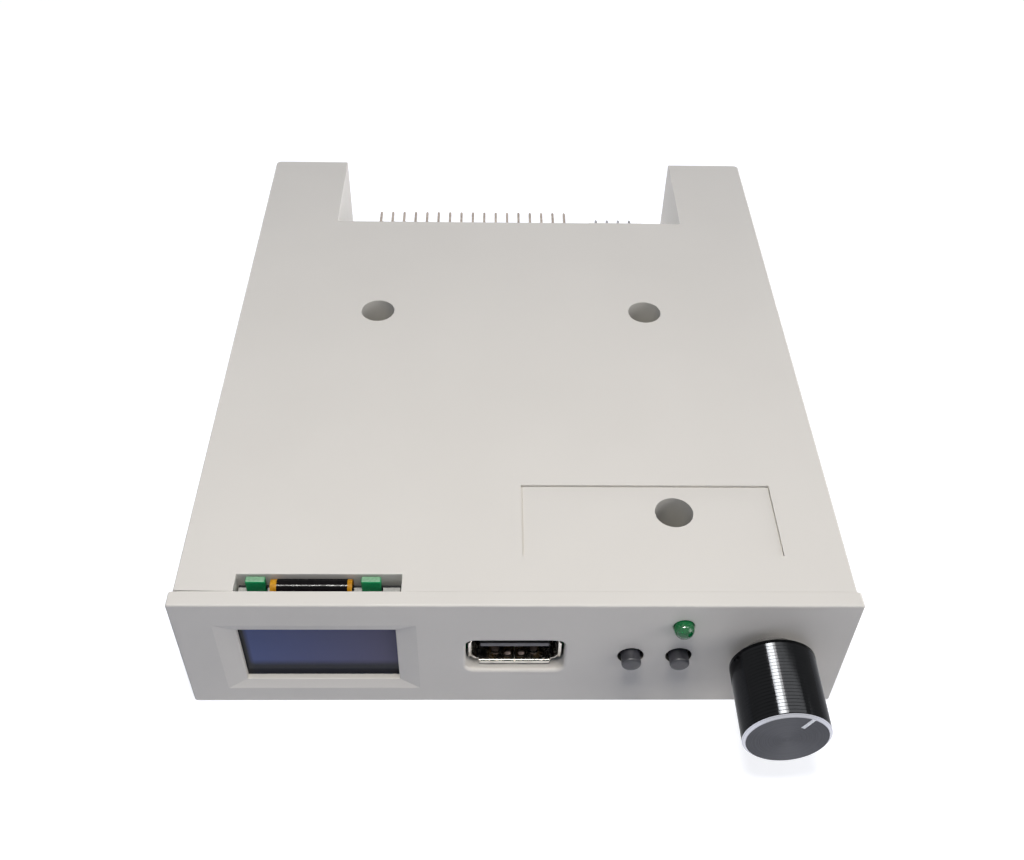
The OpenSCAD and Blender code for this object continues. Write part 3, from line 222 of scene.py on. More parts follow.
def open_edit(piece, kind):
    """Opens a piece in edit mode with nothing selected."""
    pick_up(piece)
    bpy.ops.object.mode_set(mode="EDIT")
    bpy.ops.mesh.select_mode(type=kind)
    bpy.ops.mesh.select_all(action="DESELECT")


def choose(piece, kind, test):
    """Opens a piece in edit mode with the faces or edges selected that pass a test."""
    open_edit(piece, kind)
    shape = bmesh.from_edit_mesh(piece.data)
    for part in shape.faces if kind == "FACE" else shape.edges:
        if test(part):
            part.select_set(True)
    bmesh.update_edit_mesh(piece.data)


def middle(part):
    """Middle of an edge or a face in millimetres."""
    return sum((v.co for v in part.verts), Vector()) / len(part.verts) / MM


def along(edge, axis):
    """Whether an edge runs along an axis."""
    run = edge.verts[0].co - edge.verts[1].co
    return abs(run[axis]) > 0.999 * run.length


def on(part, axis, value):
    """Whether all of an edge or a face lies at one place along an axis."""
    return all(abs(v.co[axis] / MM - value) < NEAR for v in part.verts)


def round_edges(piece, test, radius, steps):
    """Rounds the edges that pass a test."""
    choose(piece, "EDGE", test)
    bpy.ops.mesh.bevel(offset=radius * MM, segments=steps, affect="EDGES", clamp_overlap=False)
    let_go()


def change(piece, kind, **settings):
    """Gives a piece a modifier with these settings and applies it."""
    pick_up(piece)
    modifier = piece.modifiers.new(kind.lower(), kind)
    for name, value in settings.items():
        setattr(modifier, name, value)
    bpy.ops.object.modifier_apply(modifier=modifier.name)


def carve(piece, operation, tools):
    """Cuts tools out of a piece or joins them to it, and removes them."""
    for tool in tools:
        change(piece, "BOOLEAN", operation=operation, object=tool, solver="EXACT")
        bpy.data.objects.remove(tool)


def cut(piece, *tools):
    carve(piece, "DIFFERENCE", tools)


def add(piece, *tools):
    carve(piece, "UNION", tools)


def clean(piece):
    """Merges doubled points and joins faces that lie flat with each other."""
    open_edit(piece, "VERT")
    bpy.ops.mesh.select_all(action="SELECT")
    bpy.ops.mesh.remove_doubles(threshold=0.002 * MM)
    bpy.ops.mesh.dissolve_limited(angle_limit=math.radians(0.3))
    let_go()


def shade(piece, angle):
    """Shades a piece smooth, with edges past an angle in degrees kept sharp."""
    pick_up(piece)
    bpy.ops.object.shade_smooth_by_angle(angle=math.radians(angle))


def smooth(piece, crease=None):
    """Shades a piece smooth, with flat faces kept flat and sharp edges, and those to crease, sharp."""
    shade(piece, 35)
    if crease:
        choose(piece, "EDGE", crease)
        bpy.ops.mesh.mark_sharp()
    change(piece, "WEIGHTED_NORMAL", keep_sharp=True)
    return piece


def soften(piece, radius, steps=2, skip=lambda edge: False, crease=None):
    """Takes the sharpness off the edges of a piece, but for those to skip."""
    clean(piece)
    sharp = math.radians(40)
    round_edges(piece, lambda e: e.calc_face_angle(0) > sharp and not skip(e), radius, steps)
    return smooth(piece, crease=crease)


def pull(x, y, z):
    """Extrudes what is selected by a step."""
    bpy.ops.mesh.extrude_region_move(TRANSFORM_OT_translate={"value": Vector((x, y, z)) * MM})


def turn(piece, degrees, axis, centre):
    """Turns a whole piece about an axis through a point."""
    choose(piece, "FACE", lambda f: True)
    bpy.ops.transform.rotate(value=math.radians(degrees), orient_axis=axis,
                             center_override=Vector(centre) * MM)
    let_go()
    return piece


def draw_line(name, points):
    """Draws a line through points by extruding one vertex, and leaves it open in edit mode."""
    let_go()
    points = [Vector(p) * MM for p in points]
    bpy.ops.mesh.primitive_plane_add(size=MM, location=points[0])
    piece = settle(name)
    bpy.ops.object.mode_set(mode="EDIT")
    bpy.ops.mesh.select_mode(type="VERT")
    bpy.ops.mesh.select_all(action="SELECT")
    bpy.ops.mesh.merge(type="CENTER")
    for here, there in zip(points, points[1:]):
        bpy.ops.mesh.extrude_vertices_move(TRANSFORM_OT_translate={"value": there - here})
    bpy.ops.mesh.select_all(action="SELECT")
    return piece


def face_out(piece):
    """Merges doubled points and turns all faces outward."""
    open_edit(piece, "VERT")
    bpy.ops.mesh.select_all(action="SELECT")
    bpy.ops.mesh.remove_doubles(threshold=0.0005 * MM)
    bpy.ops.mesh.normals_make_consistent(inside=False)
    let_go()


def turned(name, foot, axis, outline, steps):
    """Spins an outline of (distance along the axis, radius) about an axis through a foot point."""
    along_axis = Vector([i == axis for i in range(3)])
    outward = Vector((1, 0, 0)) if axis == Z else Vector((0, 0, 1))
    foot = Vector(foot)
    piece = draw_line(name, [foot + along_axis * d + outward * r for d, r in outline])
    bpy.ops.mesh.spin(steps=steps, angle=math.tau, center=foot * MM, axis=along_axis)
    face_out(piece)
    return piece


def arc(centre, radius, first, last, steps):
    """Points on an arc, from one angle to another, in degrees."""
    turns = [math.radians(first + (last - first) * i / steps) for i in range(steps + 1)]
    return [(centre[0] + radius * math.cos(t), centre[1] + radius * math.sin(t)) for t in turns]


def strip(name, x, width, line, thickness):
    """Sheet that follows a line of (y, z) points, a width along X and a thickness."""
    piece = draw_line(name, [(x, y, z) for y, z in line])
    pull(width, 0, 0)
    face_out(piece)
    change(piece, "SOLIDIFY", thickness=thickness * MM, offset=0)
    return piece


def row(piece, count, pitch):
    """Repeats a piece at a pitch along X."""
    change(piece, "ARRAY", count=count, use_relative_offset=False, use_constant_offset=True,
           constant_offset_displace=(pitch * MM, 0, 0))
    return piece


def join(name, *pieces):
    """Joins pieces into one object."""
    pick_up(pieces[0])
    for piece in pieces[1:]:
        piece.select_set(True)
    bpy.ops.object.join()
    pieces[0].name = name
    pieces[0].data.name = name
    return pieces[0]


# Finishes

def tone(red, green, blue):
    """Linear colour of a screen colour."""
    shares = [v / 255 for v in (red, green, blue)]
    return tuple(((s + 0.055) / 1.055) ** 2.4 if s > 0.04 else s / 12.92 for s in shares)


def new_finish(name, **sockets):
    """Material with one principled shader and constant values for its sockets, with _ for a space."""
    finish = bpy.data.materials.new(name)
    finish.use_nodes = True
    shader = finish.node_tree.nodes["Principled BSDF"]
    for socket, value in sockets.items():
        shader.inputs[socket.replace("_", " ")].default_value = value
    return finish


def put(owner, kind, links=None, **settings):
    """Adds a node to a finish or the world, sets its properties and default values, and links its inputs."""
    node = owner.node_tree.nodes.new(kind)
    for name, value in settings.items():
        setattr(node, name, value)
    for socket, value in (links or {}).items():
        if isinstance(value, bpy.types.NodeSocket):
            owner.node_tree.links.new(value, node.inputs[socket])
        else:
            node.inputs[socket].default_value = value
    return node


def feed(finish, socket, output):
    """Links an output to one of the shader's inputs."""
    finish.node_tree.links.new(output, finish.node_tree.nodes["Principled BSDF"].inputs[socket])


def place_of(finish):
    """The point on the object, in metres."""
    return put(finish, "ShaderNodeTexCoord").outputs["Object"]


def cloud(finish, size):
    """Noise with patches of a size in millimetres."""
    noise = put(finish, "ShaderNodeTexNoise", {"Vector": place_of(finish), "Scale": 1 / (size * MM),
                                               "Detail": 2.0, "Roughness": 0.55})
    return noise.outputs["Fac"]


def spread(finish, value, low, high):
    """Stretches a value from 0.3 to 0.7 over a new range."""
    node = put(finish, "ShaderNodeMapRange", {"Value": value, "From Min": 0.3, "From Max": 0.7,
                                              "To Min": low, "To Max": high})
    return node.outputs["Result"]


def ramp(finish, value, first, last, **settings):
    """Rises from 0 to 1 between two places in millimetres."""
    ends = {"Value": value, "From Min": first * MM, "From Max": last * MM}
    return put(finish, "ShaderNodeMapRange", ends, **settings).outputs["Result"]


def blend_tones(finish, factor, first, second):
    """Mixes two colours, or colour outputs, by a factor."""
    first, second = [(*c, 1) if isinstance(c, tuple) else c for c in (first, second)]
    return put(finish, "ShaderNodeMix", {"Factor": factor, 6: first, 7: second}, data_type="RGBA").outputs[2]


def grain(finish, height, depth, strength=1.0):
    """Bump of a depth in millimetres."""
    node = put(finish, "ShaderNodeBump", {"Height": height, "Distance": depth * MM, "Strength": strength})
    feed(finish, "Normal", node.outputs["Normal"])


def worked(name, dark, light, patch, rough, texture, **sockets):
    """Finish whose colour, gloss and fine texture vary: patch and texture sizes in millimetres."""
    finish = new_finish(name, **sockets)
    feed(finish, "Base Color", blend_tones(finish, spread(finish, cloud(finish, patch), 0, 1), dark, light))
    feed(finish, "Roughness", spread(finish, cloud(finish, patch / 3), *rough))
    size, depth = texture
    grain(finish, cloud(finish, size), depth)
    return finish


def metal(name, *looks):
    """Worked finish of bare metal."""
    return worked(name, *looks, Metallic=1.0)


def dress(piece, finish):
    """Gives a piece one finish."""
    piece.data.materials.clear()
    piece.data.materials.append(finish)
    return piece


def paint(piece, finish, test):
    """Gives the faces that pass a test a finish of their own."""
    piece.data.materials.append(finish)
    choose(piece, "FACE", test)
    piece.active_material_index = len(piece.data.materials) - 1
    bpy.ops.object.material_slot_assign()
    let_go()
    return piece


def hand_over(piece, body, slot, *nodes):
    """Lets a piece ride on a body and stand for CAD nodes, which it hides; the slot is not used."""
    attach(piece, body)
    if nodes:
        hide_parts(*nodes)


def house(piece, finish, slot, *nodes):
    """Dresses a piece of the housing and hands it over."""
    hand_over(dress(piece, finish), "housing", slot, *nodes)


# Case

def at_wells(make):
    """What a function makes at each of the three wells."""
    return [make(x, y) for x, y in WELLS]


def arm_sides():
    """Inner and outer reach of the hollow in each rear arm."""
    return [sorted((side * (BAY_HALF + WALL), side * INNER)) for side in (-1, 1)]


def make_cover():
    """Hollow cover with two rear arms, the screw wells, the label recess and the display slot."""
    front, roof = FRONT + BEZEL_DEEP + SEAM_GAP, TOP - WALL
    cover = block("cover_shell", (COVER_LOW.x, front, SEAM), COVER_HIGH)
    round_edges(cover, lambda e: along(e, Z) and on(e, Y, REAR), CORNER_R, 5)
    round_edges(cover, lambda e: on(e, Z, TOP) and not on(e, Y, front), EDGE_R, 3)
    cut(cover, block("bay", (-BAY_HALF, BAY_Y, SEAM - PAST), (BAY_HALF, REAR + PAST, TOP + PAST)))
    cut(cover, block("room", (-INNER, front - PAST, SEAM - PAST), (INNER, BAY_Y - WALL, roof)))
    for near, far in arm_sides():
        cut(cover, block("arm", (near, BAY_Y - PAST - WALL, SEAM - PAST), (far, REAR - WALL, roof)))
    add(cover, block("curtain", (-TAIL_HALF, BAY_Y - WALL, BOARD_TOP + LEAD_GAP),
                     (TAIL_HALF, BAY_Y, SEAM + PAST)))
    tube = roof - BOARD_TOP + 1
    add(cover, *at_wells(lambda x, y: rod("tube", (x, y, BOARD_TOP), WELL_R + WELL_WALL, tube, Z)))
    cut(cover, *at_wells(lambda x, y: rod("bore", (x, y, WELL_FLOOR), WELL_R, TOP, Z, 64)))
    cut(cover, *at_wells(lambda x, y: rod("hole", (x, y, 0), SCREW_HOLE_R, TOP, Z, 32)))
    left, right = SLOT_X
    add(cover, block("rim", (left - SLOT_RIM, front, roof - SLOT_RIM),
                     (right + SLOT_RIM, SLOT_REAR + SLOT_RIM, roof + 0.1)))
    cut(cover, block("slot", (left, front - PAST, roof - PAST), (right, SLOT_REAR, TOP + PAST)))
    cut_label(cover)
    low, high = node_box("display_glass")
    cut(cover, block("glass", (low.x - FIT, front - PAST, SEAM - PAST),
                     (high.x + FIT, high.y + FIT, high.z + FIT)))
    cut(cover, make_wedge(front))
    return soften(cover, SOFT_R, skip=lambda e: on(e, Y, front) or on_label(e))


def cut_label(cover):
    """Shallow label recess with a thin groove along three of its sides."""
    (left, right), (near, far) = LABEL_X, LABEL_Y
    bottom = TOP - LABEL_DEEP
    cut(cover, block("label", (left, near, bottom), (right, far, TOP + PAST)))
    for low, high in (((left, near), (left + LABEL_LINE, far)), ((right - LABEL_LINE, near), (right, far)),
                      ((left, far - LABEL_LINE), (right, far))):
        cut(cover, block("line", (*low, bottom - LABEL_LINE_DEEP), (*high, TOP)))


def on_label(edge):
    """Whether an edge belongs to the label recess or its grooves."""
    spot = middle(edge)
    return (LABEL_X[0] - 0.05 < spot.x < LABEL_X[1] + 0.05 and LABEL_Y[0] - 0.05 < spot.y < LABEL_Y[1] + 0.05
            and TOP - 0.9 < spot.z < TOP + NEAR)


def in_well(face):
    """Whether a face lies in a screw well, below the label recess."""
    spot = middle(face)
    below = spot.z < TOP - LABEL_DEEP - LABEL_LINE_DEEP - 0.05
    return below and any(math.hypot(spot.x - x, spot.y - y) < WELL_R + 0.02 for x, y in WELLS)


def make_wedge(front):
    """Tool for the seam that opens to the left of the slot."""
    wedge = block("wedge", (COVER_LOW.x - PAST, front - PAST, SEAM - PAST), (SLOT_X[0], front, TOP + PAST))
    return turn(wedge, WEDGE_TURN, "Z", (SLOT_X[0], front, TOP))


def make_tray():
    """Tray with posts under the wells, bosses for the side holes and windows for the bezel's clips."""
    tray = block("tray_shell", (TRAY_LOW.x, SHELL_FRONT, 0), (TRAY_HIGH.x, REAR, SEAM))
    round_edges(tray, lambda e: along(e, Z) and on(e, Y, REAR), CORNER_R, 5)
    round_edges(tray, lambda e: on(e, Z, 0) and not on(e, Y, SHELL_FRONT), EDGE_R, 3)
    cut(tray, block("notch", (-BAY_HALF, LEDGE_Y, -PAST), (BAY_HALF, REAR + PAST, SEAM + PAST)))
    cut(tray, block("room", (-INNER, SHELL_FRONT - PAST, WALL), (INNER, BAY_Y - WALL, SEAM + PAST)))
    for near, far in arm_sides():
        cut(tray, block("arm", (near, BAY_Y - PAST - WALL, WALL), (far, REAR - WALL, SEAM + PAST)))
    cut(tray, block("bay", (-BAY_HALF, BAY_Y, BOARD_LOW), (BAY_HALF, REAR, SEAM + PAST)))
    cut(tray, block("pit", (-BAY_HALF, BAY_Y, WALL), (BAY_HALF, LEDGE_Y - WALL, SEAM + PAST)))
    gate = TAIL_HALF + FIT
    cut(tray, block("gate", (-gate, BAY_Y - WALL - PAST, BOARD_LOW), (gate, BAY_Y + PAST, SEAM + PAST)))
    add(tray, *[rod("post", (x, y, 1), POST_R, BOARD_LOW - 1, Z) for x, y in WELLS + [PEG]])
    add(tray, rod("peg", (*PEG, 1), PEG_R, BOARD_TOP - 1, Z))
    cut(tray, *at_wells(lambda x, y: rod("hole", (x, y, 1.9), PILOT_R, BOARD_LOW, Z, 32)))
    side_x = TRAY_HIGH.x
    for side in (-1, 1):
        for y in SIDE_HOLES_Y:
            start = min(side * (side_x - 1 - BOSS_LONG), side * (side_x - 1))
            add(tray, rod("boss", (start, y, SIDE_HOLE_Z), BOSS_R, BOSS_LONG, X))
            add(tray, block("foot", (start, y - BOSS_R, 1), (start + BOSS_LONG, y + BOSS_R, SIDE_HOLE_Z)))
            start = min(side * (side_x - BOSS_LONG), side * (side_x + 1))
            cut(tray, rod("side hole", (start, y, SIDE_HOLE_Z), SIDE_HOLE_R, BOSS_LONG + 1, X, 32))
        near, far = sorted((side * (INNER - 1), side * (side_x + 1)))
        cut(tray, block("clip window", (near, CLIP_Y[0] - FIT, CLIP_Z[0] - FIT),
                        (far, CLIP_Y[1] + 2 * FIT, CLIP_Z[1] + FIT)))
    return soften(tray, SOFT_R)


def make_bezel():
    """Front plate with the display's window, the port's mouth and the holes for buttons, lamp and knob."""
    low, high = BEZEL_LOW, BEZEL_HIGH
    plate, back = FRONT + PLATE, FRONT + BEZEL_DEEP
    bezel = block("bezel_front", (low.x, FRONT, low.z), (high.x, back, high.z))
    round_edges(bezel, lambda e: along(e, Y), BEZEL_R, 6)
    round_edges(bezel, lambda e: on(e, Y, FRONT), BEZEL_EDGE, 4)
    cut(bezel, block("hollow", (low.x + RIM, plate, low.z + RIM), (high.x - RIM, back + PAST, high.z - RIM)))
    add_bezel_back(bezel, plate - 0.1, back)
    cut_window(bezel, back)
    cut_mouth(bezel, plate - 0.1, back)
    holes = [(x, BUTTON_Z, BUTTON_HOLE_R) for x in BUTTONS_X]
    holes += [(LAMP_X, LAMP_Z, LAMP_HOLE_R), (KNOB_X, KNOB_Z, BUSH_HOLE_R)]
    for x, z, radius in holes:
        cut(bezel, rod("hole", (x, FRONT - PAST, z), radius, BEZEL_DEEP + PAST, Y))
    clean(bezel)
    round_edges(bezel, on_mouth, MOUTH_EDGE, 5)
    return soften(bezel, 0.1, skip=lambda e: on(e, Y, back) and on(e, Z, high.z), crease=on_border)


def cut_window(bezel, back):
    """Window for the display, with four slopes round it."""
    low_x, high_x = WINDOW_X - WINDOW_W / 2, WINDOW_X + WINDOW_W / 2
    low_z, high_z = WINDOW_Z - WINDOW_H / 2, WINDOW_Z + WINDOW_H / 2
    cut(bezel, block("window", (low_x, FRONT - PAST, low_z), (high_x, back, high_z)))
    border = block("border", (low_x, FRONT - BORDER_DEEP, low_z), (high_x, FRONT + BORDER_DEEP, high_z))
    choose(border, "FACE", lambda f: on(f, Y, FRONT - BORDER_DEEP))
    bpy.ops.transform.resize(value=(1 + 4 * BORDER_W / WINDOW_W, 1, 1 + 4 * BORDER_H / WINDOW_H),
                             center_override=Vector((WINDOW_X, FRONT, WINDOW_Z)) * MM)
    let_go()
    cut(bezel, border)


def cut_mouth(bezel, near, back):
    """Rounded mouth for the port, with a collar behind the plate."""
    half_w, half_h = MOUTH_W / 2, MOUTH_H / 2
    add(bezel, block("collar", (PORT_X - half_w - 1, near, PORT_Z - half_h - 1),
                     (PORT_X + half_w + 1, back - 0.1, PORT_Z + half_h + 1)))
    mouth = block("mouth", (PORT_X - half_w, FRONT - PAST, PORT_Z - half_h),
                  (PORT_X + half_w, back, PORT_Z + half_h))
    round_edges(mouth, lambda e: along(e, Y), MOUTH_R, 6)
    cut(bezel, mouth)


def on_mouth(edge):
    """Whether an edge runs round the port's mouth in the bezel's face."""
    place = middle(edge)
    return (on(edge, Y, FRONT) and abs(place.x - PORT_X) < MOUTH_W / 2 + NEAR
            and abs(place.z - PORT_Z) < MOUTH_H / 2 + NEAR)


def on_border(edge):
    """Whether an edge lies on the slanted border of the window."""
    place = middle(edge)
    return (abs(place.x - WINDOW_X) < WINDOW_W / 2 + BORDER_W + NEAR
            and abs(place.z - WINDOW_Z) < WINDOW_H / 2 + BORDER_H + NEAR
            and FRONT - NEAR < place.y < FRONT + BORDER_DEEP + NEAR)


def in_button_hole(face):
    """Whether a face lies on the wall of a button hole."""
    spot = middle(face)
    return abs(face.normal.y) < 0.3 and any(
        math.hypot(spot.x - x, spot.z - BUTTON_Z) < BUTTON_HOLE_R + 0.1 for x in BUTTONS_X)


def add_bezel_back(bezel, near, back):
    """Side clips, tongues under the roof and the ribs round the display glass."""
    outside = INNER - FIT
    inside = outside - 1.4
    hook, end = CLIP_Y
    outline = ((inside, near), (outside, near), (outside, hook), (outside + 0.8, hook), (outside, end),
               (inside, end))
    for side in (-1, 1):
        clip = draw_line("clip", [(side * x, y, CLIP_Z[0]) for x, y in outline])
        bpy.ops.mesh.edge_face_add()
        pull(0, 0, CLIP_Z[1] - CLIP_Z[0])
        face_out(clip)
        add(bezel, clip)
    for x in (PORT_X, KNOB_X):
        add(bezel, block("tongue", (x - TONGUE_HALF, near, TONGUE_Z[0]),
                         (x + TONGUE_HALF, FRONT + TONGUE_LONG, TONGUE_Z[1])))
    low, high = node_box("display_glass")
    low_z = low.z - FIT
    for x in (low.x - 1.1, high.x + FIT):
        add(bezel, block("rib", (x, near, low_z - 1), (x + 1, back, (low.z + high.z) / 2)))
    add(bezel, block("rib", (low.x - FIT, near, low_z - 1), (high.x + FIT, back, low_z)))


def make_screws():
    """Round-headed screws at the foot of the wells, with a cross recess."""
    outline = [(-8.95, 0), (-8.95, 0.9), (-8.3, 1.25), (0, 1.25), (0, 2.5), (0.1, 2.6), (0.9, 2.6)]
    outline += [(0.9 + d, r) for d, r in ((0.45, 2.42), (0.75, 2.0), (0.93, 1.2), (1.0, 0))]
    screws = []
    for x, y in WELLS:
        screw = turned("case_screw", (x, y, WELL_FLOOR), Z, outline, 40)
        for half_x, half_y in ((1.3, 0.32), (0.32, 1.3)):
            cut(screw, block("cross", (x - half_x, y - half_y, WELL_FLOOR + 0.95),
                             (x + half_x, y + half_y, TOP)))
        screws.append(smooth(screw))
    return join("well_screws", *screws)


def make_case():
    plastic = worked("case_plastic", tone(207, 203, 196), tone(210, 206, 199), 30, (0.48, 0.58),
                     (0.35, 0.006), Specular_IOR_Level=0.35)
    # The inside of each screw well gets a darker plastic: painted shade, standing in for the shade deep in
    # the wells.
    well = worked("well_painted_shade", tone(186, 183, 176), tone(192, 189, 182), 6, (0.6, 0.7), (0.35, 0.006))
    hand_over(paint(dress(make_cover(), plastic), well, in_well), "housing", "case_plastic", "top_cover")
    house(make_tray(), plastic, "case_plastic", "bottom_tray")
    # The walls of the button holes get a near-black plastic: painted shade, standing in for the dark gap
    # round each stem.
    hole = worked("hole_painted_shade", tone(58, 57, 55), tone(72, 71, 68), 2, (0.6, 0.7), (0.35, 0.006))
    bezel = paint(dress(make_bezel(), plastic), hole, in_button_hole)
    hand_over(bezel, "housing", "case_plastic", "front_bezel")
    zinc = metal("zinc_plate", tone(150, 150, 155), tone(190, 190, 196), 1.5, (0.25, 0.4), (0.15, 0.004))
    house(make_screws(), zinc, "zinc_steel", "case_screws")


# Port

def make_port_shell():
    """Sheet sleeve with a flared mouth, windows for the springs and two tabs through the board."""
    low_x, high_x = PORT_X - PORT_HALF_W, PORT_X + PORT_HALF_W
    low_z, high_z = PORT_Z - PORT_HALF_H, PORT_Z + PORT_HALF_H
    near, far = PORT_NEAR, PORT_FAR
    shell = block("port_sleeve", (low_x, near, low_z), (high_x, far, high_z))
    round_edges(shell, lambda e: along(e, Y), 0.9, 5)
    choose(shell, "FACE", lambda f: on(f, Y, near) or on(f, Y, far))
    bpy.ops.mesh.delete(type="ONLY_FACE")
    let_go()
    flare = {X: ((0.12, 0.33), (0.39, 0.28)), Z: ((0.18, 0.25), (0.03, 0.2), (0.24, 0.22))}
    narrow = {X: (1, 1, 0.92), Z: (0.985, 1, 1)}
    sides = ((X, low_x, -1, 0), (X, high_x, 1, 0), (Z, low_z, 0, -1), (Z, high_z, 0, 1))
    for axis, place, way_x, way_z in sides:
        choose(shell, "EDGE", lambda e: on(e, Y, near) and on(e, axis, place))
        for out, ahead in flare[axis]:
            step = Vector((way_x * out, -ahead, way_z * out)) * MM
            bpy.ops.mesh.extrude_edges_move(TRANSFORM_OT_translate={"value": step})
            bpy.ops.transform.resize(value=narrow[axis], center_override=Vector((PORT_X, near, PORT_Z)) * MM)
        let_go()
    face_out(shell)
    change(shell, "SOLIDIFY", thickness=PORT_SHEET * MM, offset=-1, use_even_offset=True)
    cut(shell, block("seam", (PORT_X - 0.05, near - 1, low_z - 1), (PORT_X + 0.05, far, low_z + 0.6)))
    cut(shell, block("rear", (low_x + 0.9, far - 2.4, low_z - 1), (high_x - 0.9, far + 1, PORT_Z)))
    for x in SPRINGS_X:
        cut(shell, block("window", (x - 0.8, near + 0.6, high_z - 0.5), (x + 0.8, near + 8, high_z + 0.5)))
    for x in (low_x, high_x - PORT_SHEET):
        add(shell, block("tab", (x, far - 4.8, PIN_FOOT), (x + PORT_SHEET, far - 3.2, PORT_Z)))
    return soften(shell, 0.05, 1)


def make_springs():
    """Bowed fingers that press on a plug from above and below, and two dimples under it."""
    tip = 0.95
    bow = [(8.0, 2.75), (6.4, 2.6), (5.0, 2.25), (4.0, 2.05), (3.2, 2.0), (2.4, 2.08), (1.6, 2.3),
           (tip, 2.55)]
    springs = []
    for x in SPRINGS_X:
        for side in (-1, 1):
            line = [(PORT_NEAR + d, PORT_Z + side * h) for d, h in bow]
            finger = strip("finger", x - 0.6, 1.2, line, 0.2)
            round_edges(finger, lambda e: abs(middle(e).y - PORT_NEAR - tip) < 0.2 and not along(e, X)
                        and not along(e, Y) and e.calc_face_angle(0) > 1, 0.55, 5)
            springs.append(smooth(finger))
    dome = [(-0.1, 0), (-0.1, 0.6), (0, 0.6), *[(d - 0.2, r) for r, d in arc((0, 0), 0.6, 30, 90, 6)]]
    for x in (PORT_X - 1.05, PORT_X + 1.05):
        springs.append(smooth(turned("dimple", (x, PORT_NEAR + tip, PORT_Z - 2.6), Z, dome, 32)))
    return join("port_springs", *springs)


def make_port_tongue():
    """Blade with grooves for the contacts, on a block that closes the sleeve's rear."""
    tip, end = PORT_NEAR + 0.1, PORT_NEAR + 12.7
    tongue = block("port_blade", (PORT_X - 5.3, tip, PORT_Z), (PORT_X + 5.3, end, PORT_Z + 1.84))
    round_edges(tongue, lambda e: on(e, Y, tip) and along(e, X), 0.15, 3)
    back = block("back", (PORT_X - 6.15, PORT_NEAR + 10.8, PORT_Z - 2.5), (PORT_X + 6.15, end, PORT_Z + 2.5))
    round_edges(back, lambda e: along(e, Y), 0.6, 4)
    add(tongue, back)
    for x in CONTACTS_X:
        cut(tongue, block("groove", (x - 0.5, PORT_NEAR + 1.2, PORT_Z - 5),
                          (x + 0.5, PORT_NEAR + 14, PORT_Z + 0.25)))
    cut(tongue, block("step", (PORT_X - 6, tip - 1, PORT_Z + 0.9), (PORT_X + 6, tip + 2, PORT_Z + 3)))
    return soften(tongue, 0.08)


def make_contacts():
    """Strips under the tongue, bowed down near the front where a plug touches them."""
    bow = [(1.6, 0.12), (2.0, 0.02), (2.5, -0.22), (3.0, -0.36), (3.5, -0.4), (4.0, -0.34), (4.8, -0.1),
           (5.6, 0.08), (6.5, 0.12), (12.9, 0.12)]
    line = [(PORT_NEAR + d, PORT_Z + h) for d, h in bow]
    contacts = []
    for x in CONTACTS_X:
        contact = strip("contact", x - 0.45, 0.9, line, 0.22)
        leg = block("leg", (x - 0.3, PORT_NEAR + 12.7, PIN_FOOT), (x + 0.3, PORT_NEAR + 13.3, PORT_Z + 0.2))
        round_edges(leg, lambda e: on(e, Z, PIN_FOOT), 0.15, 2)
        contacts += [smooth(contact), smooth(leg)]
    return join("port_strips", *contacts)


def make_port():
    nickel = metal("port_nickel", tone(188, 184, 178), tone(222, 219, 213), 2.5, (0.16, 0.3), (0.4, 0.003))
    black = worked("port_black", tone(20, 20, 21), tone(30, 30, 31), 1.5, (0.45, 0.6), (0.2, 0.004))
    tongue_front_light = worked("port_tip_painted_light", tone(92, 91, 94), tone(106, 105, 108), 1.5, (0.45, 0.6), (0.2, 0.004))
    gold = metal("contact_gold", tone(140, 116, 74), tone(168, 140, 92), 1.0, (0.3, 0.42), (0.2, 0.003))
    # The springs and dimples get a dark brownish metal: painted shade, standing in for the shade inside the
    # port.
    spring = metal("port_spring_shade", tone(84, 74, 70), tone(108, 97, 92), 1.0, (0.3, 0.45), (0.2, 0.004))
    shell = dress(make_port_shell(), nickel)
    # The flat middle of the mouth's lip takes the black finish: a painted shadow line between the lip's two
    # bends.
    paint(shell, black, lambda f: PORT_NEAR - 0.46 < middle(f).y < PORT_NEAR - 0.24 and abs(f.normal.z) > 0.8)
    hand_over(shell, "housing", "port_nickel", "port_shell")
    house(make_springs(), spring, "port_nickel")
    tongue = dress(make_port_tongue(), black)
    # The tongue's front face is a lighter grey than its black body: painted light, so that the front reads as
    # lit.
    paint(tongue, tongue_front_light, lambda f: f.normal.y < -0.6 and middle(f).y < PORT_NEAR + 0.3)
    hand_over(tongue, "housing", "port_black", "port_tongue")
    house(make_contacts(), gold, "contact_gold", "port_contacts")


# Display

def glass_finish():
    """Dark glass with a painted reflection: a blue field, bluer at the left, that fades into a black foot,
    which is partly the panel's dark lower band and partly painted shade; it is also darker along its left
    edge.
    """
    finish = new_finish("display_dark", Roughness=0.12, Specular_IOR_Level=0.1)
    place = put(finish, "ShaderNodeSeparateXYZ", {"Vector": place_of(finish)}).outputs
    side = ramp(finish, place["X"], -41, -20)
    painted_reflection = blend_tones(finish, side, (0.060, 0.085, 0.225), (0.085, 0.080, 0.150))
    rise = ramp(finish, place["Z"], 7.6, 9.6, interpolation_type="SMOOTHSTEP")
    reflection_over_foot = blend_tones(finish, rise, (0.006, 0.008, 0.017), painted_reflection)
    edge = ramp(finish, place["X"], -41.2, -40.4)
    feed(finish, "Base Color", blend_tones(finish, edge, (0.012, 0.013, 0.016), reflection_over_foot))
    rows = put(finish, "ShaderNodeTexWave", {"Vector": place_of(finish), "Scale": 1 / (0.17 * MM) / 20},
               bands_direction="Z")
    grain(finish, rows.outputs["Fac"], 0.001, 0.2)
    return finish


